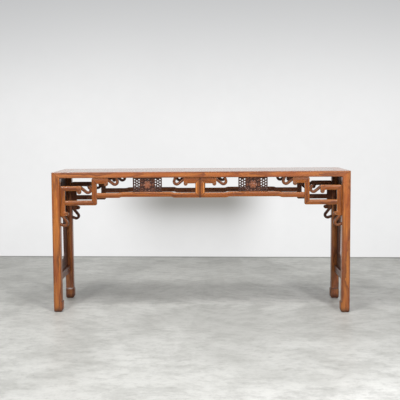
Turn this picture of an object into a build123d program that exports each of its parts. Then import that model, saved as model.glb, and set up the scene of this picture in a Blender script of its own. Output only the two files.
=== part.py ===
"""A long altar table in the corner-leg form, with fretwork aprons.

The top is a mitred frame round a floating panel. Its faces run flush into four square legs with
hoof feet, in a three-way mitre at each corner. The two long sides carry an openwork apron of
moulded bars whose free ends turn over in scrolls, and the front one holds two pierced blocks. Each
short side has one low stretcher and a ring of four thin boards let into the legs above it.

Millimetres. +X runs along the table, +Y to the back, +Z up. The origin is on the floor under
the middle of the table. Most pieces are drawn at the front left corner, with x counted from the
left outer face and y from the front outer face, and then placed and mirrored.
"""
from build123d import *
import os
from math import asin, atan2, cos, degrees, hypot, radians, sin, tan

# Overall size
length = 1830.0
depth = 490.0
height = 872.0

# Frame of the top
rail_height = 36.0
rail_width = 78.0
edge_round = 3.5
corner_curve = 8.0

# Panel and the battens that hold it flat
panel_thickness = 14.0
panel_tongue = 8.0
panel_tongue_thickness = 6.0
panel_tongue_cover = 4.0
panel_gap = 0.4
batten_count = 4
batten_width = 30.0
dovetail_height = 5.0
dovetail_neck = 16.0
dovetail_flare = 3.0
batten_tenon = 14.0
batten_tenon_height = 10.0

# Legs and feet
leg_size = 50.0
foot_height = 66.0
foot_lobe = 6.0
foot_shoulder = 4.5
foot_belly = 24.0
foot_toe_round = 12.0
foot_heel = 6.0
leg_tenon = 14.0
leg_tenon_cover = 7.0

# Stretchers of the short sides
stretcher_bottom = 178.0
stretcher_height = 46.0
stretcher_width = 28.0
stretcher_recess = 2.5
stretcher_tenon = 20.0
stretcher_tenon_thickness = 12.0
stretcher_tenon_height = 28.0

# Ring of boards on each short side
board_thickness = 12.0
board_recess = 4.0
board_groove = 6.0
top_board = 96.0
bottom_board = 66.0
stile_top = 106.0
stile_bottom = 88.0
opening_round = 34.0

# Fretwork aprons, in heights below the top frame
bar = 30.0
upper_bar = 37.0
apron_recess = 8.0
apron_depth = 28.0
bar_bevel = 3.0
bend_round = 10.0
corner_frame_drop = 50.0
corner_bar_length = 186.0
fret_width = 227.0
lower_bar_drop = 169.5
long_bar_drop = 124.0
scroll_bar_length = 100.0
centre_post = 29.0
hump_rise = 5.5
hump_start = 168.0
hump_end = 492.0
hump_slope = 24.0
fret_tenon = 10.0
fret_tenon_thickness = 9.0

# Scroll ends
tail = 17.0
scroll_radius = 25.0
scroll_reach = 68.0
scroll_rise = 25.0
scroll_tip_angle = 20.0
scroll_seat = 1.0
knob_radius = 12.0
knob_drop = 39.0

# Pierced blocks
block_start = 235.0
block_length = 178.0
block_thickness = 20.0
block_recess = 4.0
block_rim = 4.0
medallion_width = 88.0
medallion_relief = 3.0
petal_width = 16.0
pierce_columns = 3
pierce_rows = 5
pierce_web = 4.0

# Fit of the joints
fit = 0.2

rail_under = height - rail_height
centre = length / 2
stretcher_top = stretcher_bottom + stretcher_height
apron_middle = apron_recess + apron_depth / 2


def span(x0, x1, y0, y1, z0, z1):
    """A square-edged block between two corners."""
    return Pos(x0, y0, z0) * Box(x1 - x0, y1 - y0, z1 - z0, align=Align.MIN)


def along_y(face, y0, y1):
    """A face drawn in x and z, carried from y0 to y1."""
    return extrude(Plane.XZ.offset(-y0) * face, amount=y0 - y1)


def along_x(face, x0, x1):
    """A face drawn in y and z, carried from x0 to x1."""
    return extrude(Plane.YZ.offset(x0) * face, amount=x1 - x0)


def flat(x0, x1, z0, z1):
    """A flat rectangle between two corners."""
    return Pos(x0, z0) * Rectangle(x1 - x0, z1 - z0, align=Align.MIN)


def outline(*points):
    """A flat face with straight sides."""
    return make_face(Polyline(*points, close=True))


def turned(shape):
    """Swaps x and y of a piece drawn at the front left corner."""
    return mirror(shape, about=Plane(origin=(0, 0, 0), z_dir=(1, -1, 0)))


def at_corner(shape, side, face):
    """Moves a piece from the drawing corner to one of the four corners of the table."""
    placed = Pos(-length / 2, -depth / 2, 0) * shape
    if side == "right":
        placed = mirror(placed, about=Plane.YZ)
    if face == "back":
        placed = mirror(placed, about=Plane.XZ)
    return placed


# Corner mitre: on each outer face it runs from the outer top corner to the inner corner of leg
# and rail, and a small curve fills that inner corner.
mitre_fall = rail_height / leg_size
mitre_reach = leg_size + foot_lobe + corner_curve
mitre_foot = height - mitre_fall * mitre_reach
below_mitre = outline((0, 0), (mitre_reach, 0), (mitre_reach, mitre_foot), (0, height))
curve_end = leg_size + corner_curve
curve_face = flat(leg_size - edge_round, curve_end, rail_under - corner_curve, rail_under) - (
    Pos(curve_end, rail_under - corner_curve) * Circle(corner_curve)
)
curve_fill = along_y(curve_face, 0, leg_size - edge_round)
round_plan = Pos(centre, depth / 2) * RectangleRounded(length, depth, edge_round)
envelope = extrude(round_plan, amount=height)

# Tenon of the leg into the long rail. Its twin, with x and y swapped, enters the short rail.
tenon_x = leg_size / 2
tenon_y = leg_size / 4


def leg_tenon_block(clearance):
    """Tenon on the leg top, or the mortise for it when a clearance is given."""
    return span(
        tenon_x - clearance,
        tenon_x + leg_tenon + clearance,
        tenon_y - leg_tenon / 2 - clearance,
        tenon_y + leg_tenon / 2 + clearance,
        rail_under - corner_curve,
        height - leg_tenon_cover + clearance,
    )


def frame_rail(run, clear_width):
    """A rail of the top frame along x, mitred at both ends, with its groove for the panel."""
    section = Pos(clear_width / 2, (rail_under + height) / 2) * Rectangle(clear_width, rail_height)
    section = fillet(section.vertices().group_by(Axis.X)[0], edge_round)
    tongue_top = height - panel_tongue_cover
    section -= flat(
        clear_width - panel_tongue - panel_gap,
        clear_width,
        tongue_top - panel_tongue_thickness - fit,
        tongue_top + fit,
    )
    rail = along_x(section, 0, run)
    plan = outline((0, 0), (run, 0), (run - clear_width, clear_width), (clear_width, clear_width))
    rail &= extrude(plan, height)
    rail += curve_fill
    rail += Pos(run, 0, 0) * mirror(curve_fill, about=Plane.YZ)
    for end in (0, 1):
        cut = along_y(below_mitre, 0, leg_size) + leg_tenon_block(fit)
        if end:
            cut = Pos(run, 0, 0) * mirror(cut, about=Plane.YZ)
        rail -= cut
    return rail


batten_gap = (length - 2 * rail_width) / (batten_count + 1)
batten_centres = [rail_width + batten_gap * (i + 1) for i in range(batten_count)]
batten_top = height - panel_thickness


def batten_end_tenon(clearance):
    """Tenon of a batten into the long rail, or its mortise."""
    reach = rail_width - batten_tenon - clearance
    middle = rail_under + (batten_top - rail_under) / 2
    return span(
        -batten_width / 3 - clearance,
        batten_width / 3 + clearance,
        reach,
        rail_width,
        middle - batten_tenon_height / 2 - clearance,
        middle + batten_tenon_height / 2 + clearance,
    )


def dovetail(clearance):
    """Ridge on top of a batten, wider at its head, or the groove for it."""
    neck = dovetail_neck / 2 + clearance
    head = neck + dovetail_flare
    top = batten_top + dovetail_height + clearance
    return outline((-neck, batten_top), (neck, batten_top), (head, top), (-head, top))


def batten():
    """A batten across the panel, centred on x = 0."""
    inner = rail_width
    piece = span(-batten_width / 2, batten_width / 2, inner, depth - inner, rail_under, batten_top)
    piece += along_y(dovetail(0), inner + panel_gap, depth - inner - panel_gap)
    near = batten_end_tenon(0)
    far = Pos(0, depth, 0) * mirror(near, about=Plane.XZ)
    return piece + near + far


def long_rail():
    """Front rail of the top, with mortises for the battens and the apron tenons."""
    rail = frame_rail(length, rail_width)
    for x in batten_centres:
        rail -= Pos(x, 0, 0) * batten_end_tenon(fit)
    for tenon in (scroll_tenon(fit), post_tenon(fit)):
        rail -= tenon
        rail -= Pos(length, 0, 0) * mirror(tenon, about=Plane.YZ)
    return rail & envelope


def short_rail():
    """Left rail of the top, with the groove for the ring of boards."""
    rail = turned(frame_rail(depth, rail_width))
    return (rail - ring_slot()) & envelope


def top_panel():
    """Floating panel, tongued on all four edges and grooved below for the battens."""
    inner = rail_width + panel_gap
    field = span(inner, length - inner, inner, depth - inner, batten_top, height)
    edge = rail_width - panel_tongue
    tongue_top = height - panel_tongue_cover
    field += span(edge, length - edge, edge, depth - edge, tongue_top - panel_tongue_thickness, tongue_top)
    for x in batten_centres:
        field -= Pos(x, 0, 0) * along_y(dovetail(fit), 0, depth)
    return field


def foot():
    """Hoof foot: lobes on the two inner faces, toe rounded under."""
    reach = leg_size + foot_lobe
    ground = leg_size - foot_heel
    undercut = reach - ground
    belly_radius = (foot_belly**2 + undercut**2) / (2 * undercut)
    shoulder_end = (reach - foot_shoulder, foot_height)
    profile = make_face(
        Line((foot_toe_round, 0), (ground, 0))
        + RadiusArc((ground, 0), (reach, foot_belly), -belly_radius)
        + Line((reach, foot_belly), (reach, foot_height - foot_shoulder))
        + RadiusArc((reach, foot_height - foot_shoulder), shoulder_end, -foot_shoulder)
        + Polyline(shoulder_end, (leg_size, foot_height), (0, foot_height), (0, foot_toe_round))
        + RadiusArc((0, foot_toe_round), (foot_toe_round, 0), -foot_toe_round)
    )
    return along_y(profile, 0, reach) & along_x(profile, 0, reach)


def ring_slot():
    """Slot for the ring of boards in the legs, the short rail and the stretcher."""
    return span(
        board_recess - fit,
        board_recess + board_thickness + fit,
        leg_size - board_groove,
        depth - leg_size + board_groove,
        stretcher_top - board_groove,
        rail_under + board_groove,
    )


def stretcher_end_tenon(clearance):
    """Tenon of the stretcher into the leg, or its mortise."""
    middle_x = stretcher_recess + stretcher_width / 2
    middle_z = stretcher_bottom + stretcher_height / 2
    return span(
        middle_x - stretcher_tenon_thickness / 2 - clearance,
        middle_x + stretcher_tenon_thickness / 2 + clearance,
        leg_size - stretcher_tenon - clearance,
        leg_size,
        middle_z - stretcher_tenon_height / 2 - clearance,
        middle_z + stretcher_tenon_height / 2 + clearance,
    )


def corner_bar_tenons(clearance):
    """Two tenons from the apron's corner bar into the leg, or their mortises."""
    top = rail_under - corner_frame_drop
    pieces = []
    for share in (0.25, 0.65):
        middle = top - corner_bar_length * share
        pieces.append(
            span(
                leg_size - fret_tenon - clearance,
                leg_size,
                apron_middle - fret_tenon_thickness / 2 - clearance,
                apron_middle + fret_tenon_thickness / 2 + clearance,
                middle - bar / 2 - clearance,
                middle + bar / 2 + clearance,
            )
        )
    return pieces[0] + pieces[1]


def leg():
    """Front left leg, from its hoof foot to the three-way mitre under the rails."""
    section = Pos(leg_size / 2, leg_size / 2) * RectangleRounded(leg_size, leg_size, edge_round)
    piece = extrude(Pos(0, 0, foot_height) * section, amount=height - foot_height)
    piece += foot() & extrude(section_with_lobes(), amount=height)
    piece += curve_fill
    piece += turned(curve_fill)
    under = along_y(below_mitre, 0, mitre_reach)
    piece &= under
    piece &= turned(under)
    tenon = leg_tenon_block(0) - under
    piece += tenon
    piece += turned(tenon)
    piece -= stretcher_end_tenon(fit)
    piece -= ring_slot()
    return piece - corner_bar_tenons(fit)


def section_with_lobes():
    """Plan of the foot, with its corners rounded like the leg's."""
    reach = leg_size + foot_lobe
    return Pos(reach / 2, reach / 2) * RectangleRounded(reach, reach, edge_round)


def side_stretcher():
    """Left stretcher between the front and back legs."""
    section = Pos(stretcher_recess + stretcher_width / 2, stretcher_bottom + stretcher_height / 2) * (
        RectangleRounded(stretcher_width, stretcher_height, edge_round)
    )
    piece = along_y(section, leg_size, depth - leg_size)
    near = stretcher_end_tenon(0)
    piece += near
    piece += Pos(0, depth, 0) * mirror(near, about=Plane.XZ)
    return piece - ring_slot()


def side_ring():
    """Ring of four mitred boards above the left stretcher: top, bottom, front and back."""
    seat = board_groove - fit
    y0 = leg_size
    y1 = depth - leg_size
    z0 = stretcher_top
    z1 = rail_under
    hole_low = z0 + bottom_board
    hole_high = z1 - top_board
    opening = outline(
        (y0 + stile_bottom, hole_low),
        (y1 - stile_bottom, hole_low),
        (y1 - stile_top, hole_high),
        (y0 + stile_top, hole_high),
    )
    opening = fillet(opening.vertices(), opening_round)
    ring = along_x(
        flat(y0 - seat, y1 + seat, z0 - seat, z1 + seat) - opening,
        board_recess,
        board_recess + board_thickness,
    )
    middle = depth / 2
    low_left = (y0 + stile_bottom, hole_low)
    high_left = (y0 + stile_top, hole_high)
    low_peak = outline(
        (y0 - seat, z0 - seat), (y1 + seat, z0 - seat), (y1 - stile_bottom, hole_low), low_left
    )
    high_peak = outline(
        (y0 - seat, z1 + seat), high_left, (y1 - stile_top, hole_high), (y1 + seat, z1 + seat)
    )
    low_share = low_peak + flat(y0 + stile_bottom, y1 - stile_bottom, z0, hole_low + opening_round)
    high_share = high_peak + flat(y0 + stile_top, y1 - stile_top, hole_high - opening_round, z1)
    bottom_cut = along_x(low_share, 0, leg_size)
    top_cut = along_x(high_share, 0, leg_size)
    sides = ring - bottom_cut - top_cut
    front_half = span(0, leg_size, 0, middle, 0, height)
    return {
        "top_board": ring & top_cut,
        "bottom_board": ring & bottom_cut,
        "front_stile": sides & front_half,
        "back_stile": sides - front_half,
    }


def on_circle(middle, radius, angle):
    """The point of a circle at an angle in degrees."""
    return (middle[0] + radius * cos(radians(angle)), middle[1] + radius * sin(radians(angle)))


def scroll_end(wide):
    """Scroll that ends a bar lying along x below the line y = 0, its end face at x = 0.

    A tail leaves the upper edge of the bar, runs down at a slant, turns round and comes back up
    to the line y = 0. A knob hangs from the lower edge beside the end face.
    """
    middle = (scroll_reach - scroll_radius, scroll_rise)
    inner = scroll_radius - tail
    slant = degrees(atan2(middle[1], middle[0]) + asin(inner / hypot(*middle)))
    across = slant + 90
    half_way = (across - scroll_tip_angle) / 2
    tail_in = on_circle(middle, inner, across)
    tail_out = on_circle(middle, scroll_radius, across)
    tip_in = on_circle(middle, inner, -scroll_tip_angle)
    tip_out = on_circle(middle, scroll_radius, -scroll_tip_angle)
    lean = tan(radians(scroll_tip_angle))
    seat_in = (tip_in[0] - tip_in[1] * lean, 0)
    seat_out = (tip_out[0] - tip_out[1] * lean, 0)
    root = tail / cos(radians(slant))
    curl = make_face(
        Line((0, 0), tail_in)
        + ThreePointArc(tail_in, on_circle(middle, inner, half_way), tip_in)
        + Polyline(tip_in, seat_in, seat_out, tip_out)
        + ThreePointArc(tip_out, on_circle(middle, scroll_radius, half_way), tail_out)
        + Polyline(tail_out, (0, root), (-tail, root), (-tail, 0), (0, 0))
    )
    knob = Pos(-knob_radius, knob_drop) * Circle(knob_radius)
    neck = flat(-knob_radius, 0, wide - tail, knob_drop)
    hollow = knob_drop - wide
    side = 2 * knob_radius + hollow
    web = flat(-side, -knob_radius, wide - tail, knob_drop) - Pos(-side, knob_drop) * Circle(hollow)
    return mirror(curl + knob + neck + web, about=Plane.XZ)


def scroll_bar_end(x, z, turn, flip, wide=bar):
    """A scroll end moved to a bar's end: turned by degrees, and mirrored first when flip is set."""
    shape = scroll_end(wide)
    if flip:
        shape = mirror(shape, about=Plane.YZ)
    return Pos(x, z) * Rot(0, 0, turn) * shape


post_left = fret_width + leg_size - bar
post_right = post_left + bar
frame_top = rail_under - corner_frame_drop
frame_left = leg_size
frame_right = leg_size + bar
corner_end = frame_top - corner_bar_length
lower_bottom = rail_under - lower_bar_drop
long_bottom = rail_under - long_bar_drop
long_top = long_bottom + bar
centre_left = centre - centre_post
top_bar_end = post_left - scroll_reach + scroll_seat
outer_scroll_end = post_left + scroll_bar_length
inner_scroll_end = centre - scroll_bar_length


def long_bar_edge(z):
    """Corners of the long bar's edge at a height z, raised under the pierced block."""
    step_in = centre - hump_end
    step_out = centre - hump_start
    high = z + hump_rise
    half = hump_slope / 2
    return [
        (post_right - bar, z),
        (step_in - half, z),
        (step_in + half, high),
        (step_out - half, high),
        (step_out + half, z),
        (centre_left, z),
    ]


def corner_frame():
    """Front view of the two bars beside the leg, and of their scrolls."""
    shape = flat(frame_left, frame_right, corner_end, frame_top)
    shape += flat(frame_left, top_bar_end, frame_top - bar, frame_top)
    shape = fillet(shape.vertices().sort_by_distance((frame_left, frame_top))[0], bend_round)
    scrolls = scroll_bar_end(top_bar_end, frame_top, 0, False)
    scrolls += scroll_bar_end(frame_left, corner_end, 90, True)
    return shape, scrolls


def post_frame():
    """Front view of the lower bar, the drop post and the outer bar, and of its scroll."""
    shape = flat(frame_right - bar, post_right, lower_bottom, lower_bottom + bar)
    shape += flat(post_left, post_right, lower_bottom, rail_under)
    shape += flat(post_left, outer_scroll_end, rail_under - upper_bar, rail_under)
    for x, z in ((post_left, rail_under), (post_right, lower_bottom)):
        shape = fillet(shape.vertices().sort_by_distance((x, z))[0], bend_round)
    return shape, scroll_bar_end(outer_scroll_end, rail_under, 0, False, upper_bar)


def centre_frame():
    """Front view of the long bar, the centre post and the inner bar, and of its scroll."""
    shape = outline(*long_bar_edge(long_bottom), *reversed(long_bar_edge(long_top)))
    shape += flat(centre_left, centre, long_bottom, rail_under)
    shape += flat(inner_scroll_end, centre, rail_under - upper_bar, rail_under)
    return shape, scroll_bar_end(inner_scroll_end, rail_under, 0, True, upper_bar)


def moulded(bars, scrolls):
    """A frame of bars with bevelled front edges, its scrolls carved down to the foot of the bevel."""
    back = apron_recess + apron_depth
    body = along_y(bars, apron_recess, back)
    front = body.faces().sort_by(Axis.Y)[0]
    return chamfer(front.edges(), bar_bevel) + along_y(scrolls, apron_recess + bar_bevel, back)


def scroll_tenon(clearance):
    """Tenon from the outer scroll bar up into the rail, or its mortise."""
    middle = (post_right + outer_scroll_end) / 2
    return span(
        middle - bar / 2 - clearance,
        middle + bar / 2 + clearance,
        apron_middle - fret_tenon_thickness / 2 - clearance,
        apron_middle + fret_tenon_thickness / 2 + clearance,
        rail_under,
        rail_under + fret_tenon + clearance,
    )


def post_tenon(clearance):
    """Tenon from the inner scroll bar up into the rail, or its mortise."""
    middle = (centre_left + inner_scroll_end) / 2
    return Pos(middle - (post_right + outer_scroll_end) / 2, 0, 0) * scroll_tenon(clearance)


def cross_tenon(x, z, clearance):
    """Tenon from a level bar into the upright on its left, or its mortise."""
    return span(
        x - fret_tenon - clearance,
        x,
        apron_middle - fret_tenon_thickness / 2 - clearance,
        apron_middle + fret_tenon_thickness / 2 + clearance,
        z + bar / 4 - clearance,
        z + 3 * bar / 4 + clearance,
    )


def half_apron():
    """The eight bars of the left half of the front apron, cut apart at their joints."""
    frames = {
        "corner": moulded(*corner_frame()),
        "post": moulded(*post_frame()),
        "centre": moulded(*centre_frame()),
    }
    half_way = (post_right + centre_left) / 2
    between = (rail_under - knob_drop - knob_radius + long_top) / 2
    low = corner_end - 2 * scroll_reach
    regions = {
        "corner_bar": (
            "corner",
            outline(
                (frame_left, frame_top),
                (frame_right, frame_top - bar),
                (frame_right, lower_bottom),
                (post_left, lower_bottom),
                (post_left, low),
                (frame_left, low),
            ),
        ),
        "corner_scroll_bar": (
            "corner",
            outline(
                (frame_left, frame_top),
                (post_left, frame_top),
                (post_left, lower_bottom + bar),
                (frame_right, lower_bottom + bar),
                (frame_right, frame_top - bar),
            ),
        ),
        "lower_bar": (
            "post",
            outline(
                (frame_right, lower_bottom + bar),
                (post_left, lower_bottom + bar),
                (post_right, lower_bottom),
                (frame_right, lower_bottom),
            ),
        ),
        "drop_post": (
            "post",
            outline(
                (post_left, rail_under),
                (post_right, rail_under - upper_bar),
                (post_right, lower_bottom),
                (post_left, lower_bottom + bar),
            ),
        ),
        "outer_scroll_bar": (
            "post",
            outline(
                (post_left, rail_under),
                (half_way, rail_under),
                (half_way, between),
                (post_right, between),
                (post_right, rail_under - upper_bar),
            ),
        ),
        "long_bar": (
            "centre",
            outline(
                (post_right, between),
                (centre_left, between),
                (centre_left, long_top),
                (centre, long_bottom),
                (post_right, long_bottom),
            ),
        ),
        "centre_post": (
            "centre",
            outline(
                (centre, rail_under),
                (centre_left, rail_under - upper_bar),
                (centre_left, long_top),
                (centre, long_bottom),
            ),
        ),
        "inner_scroll_bar": (
            "centre",
            outline(
                (centre, rail_under),
                (half_way, rail_under),
                (half_way, between),
                (centre_left, between),
                (centre_left, rail_under - upper_bar),
            ),
        ),
    }
    pieces = {}
    for name, (frame, region) in regions.items():
        pieces[name] = frames[frame] & along_y(region, 0, leg_size)
    pieces["corner_bar"] += corner_bar_tenons(0)
    pieces["corner_bar"] -= cross_tenon(frame_right, lower_bottom, fit)
    pieces["lower_bar"] += cross_tenon(frame_right, lower_bottom, 0)
    pieces["drop_post"] -= cross_tenon(post_right, long_bottom, fit)
    pieces["long_bar"] += cross_tenon(post_right, long_bottom, 0)
    pieces["outer_scroll_bar"] += scroll_tenon(0)
    pieces["inner_scroll_bar"] += post_tenon(0)
    return pieces


def pierced_block():
    """Carved block between the long bar and the rail: a medallion between two pierced fields."""
    right = centre - block_start
    left = right - block_length
    low = long_top + hump_rise
    board = flat(left, right, low, rail_under)
    board = fillet(board.vertices(), edge_round)
    field = (block_length - medallion_width) / 2 - block_rim
    pitch_x = field / pierce_columns
    pitch_z = (rail_under - low - 2 * block_rim) / pierce_rows
    hole = RegularPolygon((pitch_z - pierce_web) / 2, 4)
    for start in (left + block_rim, right - block_rim - field):
        for column in range(pierce_columns):
            staggered = column % 2
            for row in range(pierce_rows - staggered):
                x = start + pitch_x * (column + 0.5)
                z = low + block_rim + pitch_z * (row + 0.5 + staggered / 2)
                board -= Pos(x, z) * hole
    front = apron_recess + block_recess
    piece = along_y(board, front, front + block_thickness)
    middle_x = (left + right) / 2
    middle_z = (low + rail_under) / 2
    petal = Rectangle(petal_width, (rail_under - low) / 2 - block_rim, align=(Align.CENTER, Align.MIN))
    petal = chamfer(petal.vertices(), petal_width / 3)
    flower = Rectangle(petal_width, petal_width)
    for angle in range(0, 360, 60):
        flower += Rot(0, 0, angle) * petal
    return piece + along_y(Pos(middle_x, middle_z) * flower, front - medallion_relief, front)


def node(name, shape):
    """Writes one piece under its own name."""
    export_step(shape, f"parts/{name}.step")


os.makedirs("parts", exist_ok=True)

front_rail = long_rail()
left_rail = short_rail()
front_left_leg = leg()
left_stretcher = side_stretcher()
left_ring = side_ring()
apron = half_apron()
block = pierced_block()

node("long_rail_front", at_corner(front_rail, "left", "front"))
node("long_rail_back", at_corner(front_rail, "left", "back"))
node("top_panel", at_corner(top_panel(), "left", "front"))
for number, batten_x in enumerate(batten_centres, start=1):
    node(f"batten_{number}", at_corner(Pos(batten_x, 0, 0) * batten(), "left", "front"))
for side in ("left", "right"):
    node(f"short_rail_{side}", at_corner(left_rail, side, "front"))
    node(f"side_stretcher_{side}", at_corner(left_stretcher, side, "front"))
    for board_name, board in left_ring.items():
        node(f"side_{board_name}_{side}", at_corner(board, side, "front"))
    node(f"pierced_block_{side}", at_corner(block, side, "front"))
    for face in ("front", "back"):
        node(f"leg_{face}_{side}", at_corner(front_left_leg, side, face))
        for piece_name, piece in apron.items():
            node(f"{piece_name}_{face}_{side}", at_corner(piece, side, face))
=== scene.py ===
# %% [markdown]
# # A long altar table in old elm
#
# The table stands on four square legs whose faces run flush into the frame of the top. Under each
# long rail hangs an apron of moulded bars with scroll ends, and the front one holds two pierced,
# carved blocks. The solids from the drawing office are loaded first: they say where every piece
# is. A scene can be built on such a frame in two ways, by giving the solids a better finish, or by
# making each piece again with softer edges, joint lines and carving. Nearly every piece here is
# made again, because eased edges and fine seams are what makes joinery look like wood.

# %% The frame
import math

import bpy
import numpy as np
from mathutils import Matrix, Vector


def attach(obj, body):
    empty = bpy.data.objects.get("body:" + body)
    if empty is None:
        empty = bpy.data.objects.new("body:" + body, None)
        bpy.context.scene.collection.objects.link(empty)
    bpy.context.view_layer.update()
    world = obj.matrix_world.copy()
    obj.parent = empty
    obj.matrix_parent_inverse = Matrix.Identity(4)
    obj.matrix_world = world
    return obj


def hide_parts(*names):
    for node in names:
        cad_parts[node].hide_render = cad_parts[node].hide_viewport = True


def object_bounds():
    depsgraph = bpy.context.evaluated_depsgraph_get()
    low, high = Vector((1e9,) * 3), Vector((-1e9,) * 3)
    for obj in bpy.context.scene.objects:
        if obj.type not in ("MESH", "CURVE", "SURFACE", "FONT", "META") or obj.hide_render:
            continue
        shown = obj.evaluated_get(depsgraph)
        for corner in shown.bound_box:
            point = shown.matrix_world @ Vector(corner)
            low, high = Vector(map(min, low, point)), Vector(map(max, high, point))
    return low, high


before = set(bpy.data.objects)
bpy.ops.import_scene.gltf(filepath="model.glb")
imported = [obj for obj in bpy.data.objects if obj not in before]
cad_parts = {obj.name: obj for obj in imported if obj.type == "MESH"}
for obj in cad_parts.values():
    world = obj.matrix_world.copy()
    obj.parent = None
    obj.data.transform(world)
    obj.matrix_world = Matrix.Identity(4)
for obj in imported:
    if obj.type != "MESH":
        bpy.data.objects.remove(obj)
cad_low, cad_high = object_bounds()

mm = 0.001
length, depth, height = (cad_high[axis] - cad_low[axis] for axis in range(3))
print("table", [round(size / mm) for size in (length, depth, height)], "mm")
print(len(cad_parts), "solids")

# %% [markdown]
# ## Camera
#
# A camera can be placed by eye, or from a perspective worked out on the corners of the object. The
# second is used, so the proportions can be compared: the lens is long, the camera stands a little
# right of the middle at chest height, and it looks slightly down.

# %% Camera
view_width = 400
focal_pixels = 830.2
camera_at = (0.069, -5.311, 1.119)
camera_down, camera_roll, camera_left = 4.736, 0.473, 2.421
camera_shift = 24.2 / view_width


def in_scene(name, data):
    """A new object that holds the data, linked to the scene."""
    made = bpy.data.objects.new(name, data)
    bpy.context.scene.collection.objects.link(made)
    return made


camera = in_scene("camera", bpy.data.cameras.new("camera"))
bpy.context.scene.camera = camera
camera.data.lens = camera.data.sensor_width * focal_pixels / view_width
camera.data.shift_x = camera_shift
camera.location = camera_at
camera_turns = (90 - camera_down, camera_roll, camera_left)
camera.rotation_euler = [math.radians(turn) for turn in camera_turns]
bpy.context.scene.view_settings.view_transform = "Standard"
print("lens", round(camera.data.lens, 2), "mm")

# %% [markdown]
# ## Shader maths in plain Python
#
# A node tree can be wired by hand, one node at a time, but a formula with twenty nodes is then
# hard to read. Here a small class wraps the output of a node. Its operators add Math nodes, so a
# formula for the grain of wood is written as a formula. Any other node comes from one method,
# which serves materials and the sky alike.


# %% Outputs that can be added and multiplied
class Wire:
    """The output of a node. Its operators add Math nodes to the same tree."""

    def __init__(self, tree, output):
        self.tree = tree
        self.output = output

    def math(self, operation, first, second=0.0, clamp=False):
        """One Math node of two values."""
        settings = {"operation": operation, "use_clamp": clamp}
        return self.tree.node("ShaderNodeMath", settings, {0: first, 1: second})

    def __add__(self, other):
        return self.math("ADD", self, other)

    def __radd__(self, other):
        return self.math("ADD", other, self)

    def __sub__(self, other):
        return self.math("SUBTRACT", self, other)

    def __rsub__(self, other):
        return self.math("SUBTRACT", other, self)

    def __mul__(self, other):
        return self.math("MULTIPLY", self, other)

    def __rmul__(self, other):
        return self.math("MULTIPLY", other, self)

    def __truediv__(self, other):
        return self.math("DIVIDE", self, other)

    def __pow__(self, other):
        return self.math("POWER", self, other)

    def clamped(self):
        """The value kept between 0 and 1."""
        return self.math("ADD", self, 0.0, clamp=True)

    def fraction(self):
        """What is left of the value above the whole number below it."""
        return self.math("FRACT", self)


class Tree:
    """The node tree of a material or a world, with one method for each kind of work."""

    def __init__(self, owner):
        owner.use_nodes = True
        self.owner = owner
        self.nodes = owner.node_tree.nodes
        self.links = owner.node_tree.links
        self.nodes.clear()

    def node(self, kind, settings=None, sockets=None, output=0):
        """A node of any kind: its settings are set first, then its sockets get values or wires."""
        made = self.nodes.new(kind)
        for name, value in (settings or {}).items():
            setattr(made, name, value)
        for key, value in (sockets or {}).items():
            if isinstance(value, Wire):
                self.links.new(value.output, made.inputs[key])
            else:
                made.inputs[key].default_value = value
        return Wire(self, made.outputs[output]) if made.outputs else None

    def mix(self, factor, first, second):
        """Two colours mixed by a factor. Sockets 6, 7 and 2 are the node's colour sockets."""
        settings = {"data_type": "RGBA", "clamp_factor": True}
        return self.node("ShaderNodeMix", settings, {0: factor, 6: first, 7: second}, 2)

    def combine(self, x, y, z):
        """Three numbers as one vector."""
        return self.node("ShaderNodeCombineXYZ", {}, {0: x, 1: y, 2: z})

    def parts(self, vector):
        """The three numbers of a vector."""
        first = self.node("ShaderNodeSeparateXYZ", {}, {0: vector})
        return [Wire(self, output) for output in first.output.node.outputs]

    def noise(self, vector, cells, detail=2.0, roughness=0.5):
        """Soft noise from 0 to 1. The cells are how many fit in a metre along each axis."""
        scaled = self.node("ShaderNodeVectorMath", {"operation": "MULTIPLY"}, {0: vector, 1: cells})
        sockets = {"Vector": scaled, "Scale": 1.0, "Detail": detail, "Roughness": roughness}
        return self.node("ShaderNodeTexNoise", {}, sockets)

    def step(self, value, low, high):
        """A smooth step: 0 below low, 1 above high."""
        sockets = {"Value": value, "From Min": low, "From Max": high}
        return self.node("ShaderNodeMapRange", {"interpolation_type": "SMOOTHSTEP"}, sockets)

    def attribute(self, name, output):
        """A value that each point of a mesh carries by name."""
        return self.node("ShaderNodeAttribute", {"attribute_name": name}, {}, output)

    def finish(self, surface, kind="ShaderNodeOutputMaterial"):
        """Joins a shader to the output, and gives back the material or the world."""
        self.node(kind, {}, {"Surface": surface})
        return self.owner


def paint(red, green, blue):
    """A colour as it is seen on a screen, 0 to 255, as the linear colour that a shader wants.

    Each channel c is ((c + 0.055) / 1.055) to the power 2.4 above 0.04045, and c / 12.92 below.
    """
    seen = np.array([red, green, blue]) / 255
    linear = np.where(seen > 0.04045, ((seen + 0.055) / 1.055) ** 2.4, seen / 12.92)
    return (*linear.tolist(), 1.0)


print("middle grey in linear light", round(paint(128, 128, 128)[0], 3))
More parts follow.
